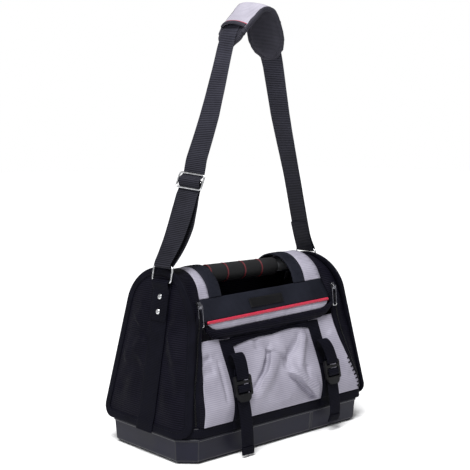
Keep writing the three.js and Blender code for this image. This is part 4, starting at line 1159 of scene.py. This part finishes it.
# black sheet laid on the cover under the roll between the straps, standing in for the pocket's dark inside in the
# roll's shade: painted shade, with a turned edge
shadeSheetLook = {
    "edge": [(-87, 163), (-58, 168), (-34, 170.5), (1, 171), (23, 173.5), (61, 174), (87, 170)],
    "head": 180.5 * mm, "headTilt": 0.03, "rows": 7, "columns": 85, "lift": 0.9 * mm, "thick": 0.8 * mm,
    "bead": 1.3 * mm, "beadLift": 0.3 * mm,
}
edge = np.array(shadeSheetLook["edge"]) * mm
x = np.linspace(edge[0, 0], edge[-1, 0], shadeSheetLook["columns"])
foot = through(edge[:, 1:], edge[:, 0], x)[:, 0]
head = shadeSheetLook["head"] + shadeSheetLook["headTilt"] * x
wall = surfaceOf(frontWall)
grid, gridOut = [], []
for share in np.linspace(0, 1, shadeSheetLook["rows"]):
    spots, normals = dropOn(wall, x, foot + (head - foot) * share)
    grid.append(spots + normals * shadeSheetLook["lift"])
    gridOut.append(normals)
spots = np.array(grid).reshape(-1, 3)
faces = gridFaces(shadeSheetLook["rows"], shadeSheetLook["columns"])
# this black sheet over the grey cover is painted shade under the roll
facing = newPiece("pocket_shade_sheet", spots, faces, blackNylon, spots[:, [0, 2]])
if facing.data.polygons[0].normal.y > 0:
    facing.data.flip_normals()
thicken(facing, shadeSheetLook["thick"])
settle(facing, "black_nylon")
run = unit(np.gradient(grid[0], axis=0))
out = unit(gridOut[0] - run * (gridOut[0] * run).sum(axis=1, keepdims=True))
path = (grid[0] + out * shadeSheetLook["beadLift"], np.cross(out, run), out)
sweptPiece("shade_sheet_edge", path, disc(shadeSheetLook["bead"], 12), bindingTape, "black_nylon", flatUv=False)
print("pocket made")


# bar and foam grip

gripLook = {
    "radius": 15 * mm, "bore": 11 * mm, "half": 76 * mm, "shoulder": 4 * mm, "shoulderDrop": 2.2 * mm,
    "seams": (-74, -38, 0, 38), "seamHalf": 2.6, "pinch": 0.9 * mm, "stations": 190, "around": 64,
}
low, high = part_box("handle_grip")
gripZ = (low.z + high.z) / 2
half = gripLook["half"]
rows = [(-half, gripLook["bore"])]
for x in np.linspace(-half, half, gripLook["stations"]):
    pinch = sum(math.exp(-(((x / mm - seam) / gripLook["seamHalf"]) ** 2)) for seam in gripLook["seams"])
    past = max(0.0, abs(x) - half + gripLook["shoulder"]) / gripLook["shoulder"]
    shoulder = math.sqrt(max(0.0, 1 - past ** 2))
    drop = gripLook["pinch"] * pinch + gripLook["shoulderDrop"] * (1 - shoulder)
    rows.append((x, gripLook["radius"] - drop))
rows.append((half, gripLook["bore"]))
grip = lathe("grip_foam", (0, 0, gripZ), (1, 0, 0), rows, foam, gripLook["around"], closed=True)
settle(grip, "foam_grip", "handle_grip")

# red bands in the seams of the grip, twisted a little
gripBandLook = {"wide": 1.2 * mm, "thick": 0.9 * mm, "sunk": 0.55 * mm, "twist": 0.08, "stations": 96}
many = gripBandLook["stations"]
out = np.stack([np.zeros(many), *disc(1.0, many).T], axis=1)
ring = disc(1.0, 12) * np.array((gripBandLook["wide"], gripBandLook["thick"]))
twist = 1 + gripBandLook["twist"] * np.cos(np.arange(many) * math.pi)
for index, x in enumerate(gripLook["seams"]):
    centre = np.array((x * mm, 0, gripZ)) + out * (gripLook["radius"] - gripBandLook["sunk"])
    section = np.repeat(ring[None], many, axis=0) * twist[:, None, None]
    path = (centre, allAlong((1, 0, 0), many), out)
    sweptPiece(f"grip_band_{index}", path, section, bandRed, "red_cord", closed=True)

tubeLook = {"bore": 9.2 * mm, "radius": 11 * mm, "edge": 0.4 * mm}
low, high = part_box("handle_bar")
bore, radius, cut = tubeLook["bore"], tubeLook["radius"], tubeLook["edge"]
rows = [
    (low.x, bore), (low.x, radius - cut), (low.x + cut, radius),
    (high.x - cut, radius), (high.x, radius - cut), (high.x, bore),
]
tube = lathe("grip_tube", (0, 0, gripZ), (1, 0, 0), rows, tubeMetal, closed=True)
settle(tube, "bar_metal", "handle_bar")
print("handle made")


# zip chains, sliders and pulls

zipLook = {
    "share": 0.32, "low": 57 * mm, "foot": 55 * mm, "underSlider": 1 * mm, "stations": 90, "boardSide": 10 * mm,
    "tape": 8.5 * mm, "tapeThick": 0.7 * mm, "tapeLift": 0.2 * mm, "seamInset": 1.6 * mm, "seamLift": 0.5 * mm,
    "tooth": 2.0 * mm, "wide": 1.7 * mm, "tall": 1.1 * mm, "toothFoot": 0.4 * mm, "toothTop": 0.7,
    "sliderEdge": 0.5 * mm, "highlightFoot": 4.5 * mm,
}
toothPlan = ((-0.25, -0.42), (1, -0.42), (1, 0.42), (-0.25, 0.42))
toothFaces = ((3, 2, 1, 0), (4, 5, 6, 7), (0, 1, 5, 4), (1, 2, 6, 5), (2, 3, 7, 6), (3, 0, 4, 7))


def zipLine(side):
    points, triangles = outerSkin("gusset_" + side)
    pairs, uses = np.unique(edgesOf(triangles), axis=0, return_counts=True)
    rim = points[np.unique(pairs[uses == 1])]
    rim = rim[(rim[:, 1] < -20 * mm) & (rim[:, 2] > zipLook["foot"])]  # front half, without the foot edge
    fromBoard = boards[side]["level"] - rim @ boards[side]["outward"]
    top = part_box("zip_slider_" + side)[0].z - zipLook["underSlider"]
    levels = np.linspace(zipLook["low"], top, zipLook["stations"])
    lines = []
    for part in (rim[fromBoard > zipLook["boardSide"]], rim[fromBoard <= zipLook["boardSide"]]):
        part = part[np.argsort(part[:, 2])]
        lines.append(np.interp(levels, part[:, 2], part[:, 0]))
    x = lines[0] * (1 - zipLook["share"]) + lines[1] * zipLook["share"]
    spots, normals = dropOn(surfaceOf(bpy.data.objects["zip_strip_" + side]), x, levels)
    front = spots[:, 1] < -40 * mm
    return cutCorners(spots[front][::3], 2), unit(cutCorners(normals[front][::3], 2))


def zipTeeth(side, path):
    arc = arcOf(path[0])
    at = np.arange(1 * mm, arc[-1], zipLook["tooth"] / 2)
    points, faces = [], []
    for index, (spot, s, u, r) in enumerate(zip(*[readOff(rows, arc, at) for rows in path])):
        hand = 1 if index % 2 else -1
        base = len(points)
        for lift, grow in ((0, 1.0), (zipLook["tall"], zipLook["toothTop"])):
            for a, b in toothPlan:
                wide = s * hand * a * zipLook["wide"] * grow
                long = r * b * zipLook["tooth"] * 0.5 * grow
                points.append(spot + wide + long + u * (zipLook["toothFoot"] + lift))
        faces += [tuple(base + i for i in face) for face in toothFaces]
    points = np.array(points)
    teeth = newPiece("zip_teeth_" + side, points, faces, bucklePlastic, points[:, [0, 2]])
    settle(teeth, "buckle_plastic")


def zipPieces(side):
    line, normal = zipLine(side)
    run = unit(np.gradient(line, axis=0))
    across = unit(np.cross(normal, run))
    out = np.cross(run, across)
    tape = webSection(2 * zipLook["tape"], zipLook["tapeThick"], 8)
    path = (line + out * zipLook["tapeLift"], across, out)
    sweptPiece("zip_tape_" + side, path, tape, bindingTape, "black_nylon")
    zipTeeth(side, (line, across, out, run))
    # the slider is dark painted reflection, its broken edges bright steel as painted highlights
    hardPiece("zip_body_" + side, "zip_slider_" + side, darkReflectionWire, "steel", zipLook["sliderEdge"], steel)
    # the pull wire is dark painted reflection, with a painted highlight at its foot
    pull = roundPiece("pull_wire_" + side, "zip_pull_" + side, darkReflectionWire, "steel", 2, body=side + "_pull")
    pull.data.materials.append(steel)
    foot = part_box("zip_pull_" + side)[0].z
    for face in pull.data.polygons:  # the foot of the loop is bright steel, as a painted highlight
        if face.center.z < foot + zipLook["highlightFoot"]:
            face.material_index = 1
    inset, lift = zipLook["tape"] - zipLook["seamInset"], zipLook["seamLift"]
    return [(line + across * hand * inset + out * lift, out) for hand in (-1, 1)]


stitchRows("zip_stitches", zipPieces("left") + zipPieces("right"))
print("zips made")


# overcast stitches that sew the foot of the cover's right edge to the zip strip

overcastLook = {
    "low": 62 * mm, "high": 112 * mm, "count": 8, "near": 8 * mm, "fromEdge": 4 * mm, "inset": -3.4 * mm,
    "run": 7 * mm, "lean": 0.35,
}
overcastStitch = {"length": 6.4 * mm, "gap": 0.4 * mm, "radius": 1.5 * mm, "rise": 0.3 * mm}
points, triangles = outerSkin("front_cover")
rim = points[np.unique(triangles)]
run = unit(np.array((1, 0, overcastLook["lean"])))
overcastRows = []
for level in np.linspace(overcastLook["low"], overcastLook["high"], overcastLook["count"]):
    edge = rim[np.abs(rim[:, 2] - level) < overcastLook["near"], 0].max()
    spots, normals = dropOn(wall, [edge - overcastLook["fromEdge"]], [level])
    first = spots[0] + run * overcastLook["inset"]
    overcastRows.append((np.stack([first, first + run * overcastLook["run"]]), np.repeat(normals, 2, axis=0)))
stitchRows("edge_overcast", overcastRows, look=overcastStitch)
print("overcast edge made")


# front straps with their loops, buckles and tails

frontLook = {
    "size": (25 * mm, 1.5 * mm), "seed": {"webbing": 51, "loop": 53, "tail": 55}, "buckleEdge": 0.8 * mm,
    "turned": 13 * mm, "turnedNarrower": 0.6 * mm, "turnedSeed": 57, "rowAt": 4, "rowHalf": 0.45, "rowPoints": 20,
}


# the free end is turned up and sewn down
def tailEnd(side, line):
    width, thick = frontLook["size"]
    centre, across, out = finerLine(line, 1 * mm)
    if centre[-1, 2] > centre[0, 2]:
        centre, across, out = centre[::-1], across[::-1], out[::-1]
    keep = arcOf(centre) > arcOf(centre)[-1] - frontLook["turned"]
    across, out = across[keep], out[keep]
    centre = centre[keep] + out * thick
    size = (width - frontLook["turnedNarrower"], thick)
    webbingPiece("tail_turn_" + side, (centre, across, out), size, seed=frontLook["turnedSeed"])
    at, many = frontLook["rowAt"], frontLook["rowPoints"]
    share = np.linspace(-frontLook["rowHalf"], frontLook["rowHalf"], many)[:, None]
    row = centre[at] + share * across[at] * width + out[at] * thick * 0.5
    stitchRows("tail_stitches_" + side, [(row, allAlong(out[at], many))], "black_webbing")


for side in bothSides:
    for part, seed in frontLook["seed"].items():
        node = f"front_{part}_{side}"
        line = strapLine(node, *frontLook["size"], bagCore)
        webbingPiece(f"front_strap_{part}_{side}", line, frontLook["size"], node, seed=seed)
        if part == "tail":
            tailEnd(side, line)
    hardPiece("buckle_frame_" + side, "buckle_" + side, bucklePlastic, "buckle_plastic", frontLook["buckleEdge"])
print("front straps made")


# shoulder strap, its adjuster and its pad

shoulderLook = {"size": (40 * mm, 1.6 * mm), "seed": 61}
shoulder = {}
for side in bothSides:
    node = "strap_" + side
    shoulder[side] = strapLine(node, *shoulderLook["size"], loopCore)
    look = {"seed": shoulderLook["seed"], "finish": shoulderWebbing}
    webbingPiece("shoulder_" + side, shoulder[side], shoulderLook["size"], node, **look)
roundPiece("adjuster_frame", "strap_slider", steel, "steel")
roundPiece("adjuster_bar", "strap_slider_bar", steel, "steel")


# swells a pad by pressure inside its cloth, then smooths it
def swell(piece, look):
    rest = readPoints(piece.data)
    cloth = piece.modifiers.new("cloth", "CLOTH")
    cloth.settings.use_pressure = True
    cloth.settings.uniform_pressure_force = look["pressure"]
    cloth.settings.effector_weights.gravity = 0
    cloth.settings.tension_stiffness = look["stiffness"]
    for number in range(1, look["frames"] + 1):
        bpy.context.scene.frame_set(number)
    applyModifiers(piece)
    move = readPoints(piece.data) - rest
    size = np.linalg.norm(move, axis=1, keepdims=True)
    writePoints(piece.data, rest + move * np.minimum(1, look["cap"] / np.maximum(size, 1e-9)))
    bpy.context.scene.frame_set(1)
    subdivide(piece, 1)


# the strap's line through the pad, from the left lobe over the top to the right lobe
def loopLine():
    runs = []
    for side, topLast in (("left", True), ("right", False)):
        run = finerLine(shoulder[side], 2 * mm)
        upwards = run[0][-1, 2] > run[0][0, 2]
        runs.append([rows if upwards == topLast else rows[::-1] for rows in run])
    for part in (1, 2):
        if runs[0][part][-1] @ runs[1][part][0] < 0:
            runs[1][part] = -runs[1][part]
    return [np.concatenate([runs[0][part], runs[1][part][1:]]) for part in range(3)]


loop = loopLine()
loopArc = arcOf(loop[0])


# places beside the loop, as distances along it, across it and out of it
def besideLoop(points):
    gap = points[:, None] - loop[0][None]
    near = np.argmin((gap ** 2).sum(axis=2), axis=1)
    off = points - loop[0][near]
    return loopArc[near], (off * loop[1][near]).sum(axis=1), (off * loop[2][near]).sum(axis=1)


# heights are off the strap's middle, in mm; the CAD pad's edge is read between two of them
padLook = {
    "stations": 70, "around": 32, "top": -2.0, "edge": -5.0, "under": -11.0, "crown": (0.7, 0.8),
    "edgeBetween": (-7.5, -2.9), "edgeClear": 4, "pressure": 4.0, "stiffness": 20, "cap": 2.5 * mm, "frames": 20,
}
padArc, padSide, padOut = besideLoop(nodePoints("pad_base")[0])
low, high = [height * mm for height in padLook["edgeBetween"]]
onEdge = (padOut < high) & (padOut > low) & (np.abs(padSide) > padLook["edgeClear"] * mm)
order = np.argsort(padArc[onEdge])
edgeArc, edgeHalf = padArc[onEdge][order], np.abs(padSide[onEdge][order])


def halfAt(at):
    return np.interp(at, edgeArc, edgeHalf)


at = np.linspace(edgeArc[0], edgeArc[-1], padLook["stations"])
centre, across, out = lineAt(loop, loopArc, at)
turn = circleOf(padLook["around"])
upper, lower = [
    padLook["edge"] + (padLook[face] - padLook["edge"]) * np.abs(np.sin(turn)) ** power
    for face, power in zip(("top", "under"), padLook["crown"])
]
thickness = np.where(np.sin(turn) > 0, upper, lower) * mm
section = np.stack([halfAt(at)[:, None] * np.cos(turn)[None], np.tile(thickness, (len(at), 1))], axis=2)
points, faces, uv = sweep(centre, across, out, section)
pad = newPiece("shoulder_pad", points, faces, padNylon, uv)
swell(pad, padLook)
settle(pad, "black_nylon", "pad_base")

# bound border of the pad: a bead round its whole edge
borderLook = {
    "wide": 4.6 * mm, "thick": 4.4 * mm, "inset": 2.6 * mm, "stations": 420, "around": 18,
    "rowInset": 2.6 * mm, "rowLift": 0.83,
}
sideways = across * halfAt(at)[:, None]
rimPoints = np.concatenate([centre + sideways, (centre - sideways)[::-1]])
rimOut = np.concatenate([out, out[::-1]])
rimPoints = rimPoints + rimOut * padLook["edge"] * mm
both = cutCorners(np.concatenate([rimPoints, rimOut], axis=1), 2, closed=True)
both = evenly(both, borderLook["stations"], closed=True)
rimPoints, rimOut = both[:, :3], unit(both[:, 3:])
away = unit(np.cross(runRound(rimPoints), rimOut))
if ((rimPoints - rimPoints.mean(axis=0)) * away).sum() < 0:
    away = -away
bead = disc(1.0, borderLook["around"]) * np.array((borderLook["wide"], borderLook["thick"]))
path = (rimPoints - away * borderLook["inset"], away, rimOut)
sweptPiece("pad_border", path, bead, padNylon, "black_nylon", closed=True, flatUv=False)
padRows = []
for lift in (-1, 1):
    row = rimPoints - away * (borderLook["inset"] + borderLook["rowInset"])
    row = row + rimOut * lift * borderLook["thick"] * borderLook["rowLift"]
    padRows.append((closeUp(row), closeUp(rimOut) * lift))
stitchRows("pad_stitches", padRows)

# grey sleeve over the strap, arched open at its ends, each end bound black with a red line
sleeveLook = {
    "thick": 1.4 * mm, "flank": -1.6, "crown": 3.2, "round": 2.4, "arch": 4.5, "fade": 22 * mm, "longer": 7 * mm,
    "half": 34 * mm, "share": 0.97, "columns": 41, "rows": 90, "ripple": 0.6 * mm, "rippleSize": 15 * mm,
    "trimShare": 0.95, "trimStations": 80, "trimLift": 0.2 * mm,
}
# trims across each end of the sleeve: distance from the end, half width and half thickness
sleeveTrims = {
    "binding": {"depth": 2.2 * mm, "size": (3.6 * mm, 1.7 * mm), "finish": padNylon, "slot": "black_nylon"},
    "cord": {"depth": 6.2 * mm, "size": (0.9 * mm, 0.9 * mm), "finish": redCord, "slot": "red_cord"},
}
sleeveArc = besideLoop(nodePoints("pad_sleeve")[0])[0]
sleeveFrom, sleeveTo = sleeveArc.min() - sleeveLook["longer"], sleeveArc.max()


def sleeveRows(at, shares):
    centre, across, out = lineAt(loop, loopArc, at)
    fromEnd = np.minimum(at - sleeveFrom, sleeveTo - at)
    arch = sleeveLook["arch"] * ease(1 - fromEnd / sleeveLook["fade"])
    crown = (sleeveLook["crown"] - sleeveLook["flank"] + arch)[:, None]
    rise = sleeveLook["flank"] + crown * (1 - np.abs(shares) ** sleeveLook["round"])
    spots = centre[:, None] + across[:, None] * (halfAt(at)[:, None] * shares)[..., None]
    return spots + out[:, None] * rise[..., None] * mm, out


columns = sleeveLook["columns"]
shares = np.linspace(-sleeveLook["share"], sleeveLook["share"], columns)
at = np.linspace(sleeveFrom, sleeveTo, sleeveLook["rows"])
rows, up = sleeveRows(at, shares[None])
spots = rows.reshape(-1, 3)
uv = np.stack([np.tile(shares * sleeveLook["half"], len(at)), np.repeat(at, columns)], axis=1)
sleeve = newPiece("pad_cover", spots, gridFaces(len(at), columns), sleeveCloth, uv)
normals = readNormals(sleeve.data)
if (normals * np.repeat(up, columns, axis=0)).sum() < 0:
    sleeve.data.flip_normals()
    normals = -normals
ripple = noiseAt(spots, sleeveLook["rippleSize"], 67) * sleeveLook["ripple"]
writePoints(sleeve.data, spots + normals * ripple[:, None])
thicken(sleeve, sleeveLook["thick"])
settle(sleeve, "grey_cloth", "pad_sleeve")
shares = np.linspace(-sleeveLook["trimShare"], sleeveLook["trimShare"], sleeveLook["trimStations"])
for side, end, inward in (("left", sleeveFrom, 1), ("right", sleeveTo, -1)):
    for part, trim in sleeveTrims.items():
        path, up = sleeveRows(np.array([end + inward * trim["depth"]]), shares[None])
        path = path[0] + up[0] * sleeveLook["trimLift"]
        run = unit(np.gradient(path, axis=0))
        lead = unit(np.cross(run, allAlong(up[0], len(run))))
        section = disc(1.0, 14) * np.array(trim["size"])
        path = (path, lead, np.cross(lead, run))
        sweptPiece(f"sleeve_{part}_{side}", path, section, trim["finish"], trim["slot"], flatUv=False)
print("shoulder strap made")

stitchRows("end_stitches", endRows)
print("end stitching made")


# floor, lights and camera

stageLook = {
    "floor": 24.0, "floorZ": -0.4 * mm, "ambient": 0.34,
    "key": 3.6, "keyRun": (0.4, 0.28, -1.0), "keySpread": 24.0,
    "left": {"place": (-1.6, -0.6, 0.9), "size": 0.9, "power": 5.0},
    "top": {"place": (0.2, 0.2, 1.9), "size": 1.2, "power": 6.0},
    "aim": (0, 0, 0.2),
}
floorMesh = bpy.data.meshes.new("floor")
reach = stageLook["floor"] / 2
corners = [(x * reach, y * reach, stageLook["floorZ"]) for x, y in ((-1, -1), (1, -1), (1, 1), (-1, 1))]
floorMesh.from_pydata(corners, [], [(0, 1, 2, 3)])
floor = addObject("floor", floorMesh)
floorMesh.materials.append(hardFinish("pale floor", {
    "dark": (0.93, 0.93, 0.94), "light": (0.96, 0.96, 0.96), "rough": (0.6, 0.7),
    "grain": 300.0, "patch": 2.0, "bump": 0.02,
}))

# the backdrop is white to the eye, and lights the bag more gently than it shows
world = bpy.data.worlds.new("studio")
bpy.context.scene.world = world
world.use_nodes = True
sky = world.node_tree
shade = sky.nodes["Background"]
shade.inputs["Color"].default_value = (1, 1, 1, 1)
shade.inputs["Strength"].default_value = stageLook["ambient"]
white = addNode(sky, "Background", {"Color": (1, 1, 1, 1), "Strength": 1.0})
seen = addNode(sky, "LightPath").outputs["Is Camera Ray"]
backdrop = addNode(sky, "MixShader", {0: seen, 1: shade.outputs[0], 2: white.outputs[0]})
sky.links.new(backdrop.outputs[0], sky.nodes["World Output"].inputs["Surface"])
bpy.context.scene.view_settings.view_transform = "Standard"


def facing(run):
    return Vector(run).to_track_quat("-Z", "Y").to_euler()


for name in ("left", "top"):
    look = stageLook[name]
    lamp = bpy.data.lights.new(name, "AREA")
    lamp.shape = "DISK"
    lamp.size = look["size"]
    lamp.energy = look["power"]
    light = addObject(name, lamp)
    light.location = look["place"]
    light.rotation_euler = facing(Vector(stageLook["aim"]) - Vector(look["place"]))
sun = bpy.data.lights.new("key", "SUN")
sun.energy = stageLook["key"]
sun.angle = math.radians(stageLook["keySpread"])
addObject("key", sun).rotation_euler = facing(stageLook["keyRun"])

cameraLook = {"place": (-1.0618, -1.1672, 0.4782), "turn": (84.45, 0, -42), "lens": 73.47, "sensor": 36}
cameraData = bpy.data.cameras.new("camera")
cameraData.sensor_width = cameraLook["sensor"]
cameraData.lens = cameraLook["lens"]
camera = addObject("camera", cameraData)
camera.location = cameraLook["place"]
camera.rotation_euler = [math.radians(a) for a in cameraLook["turn"]]
bpy.context.scene.camera = camera
print("stage set")
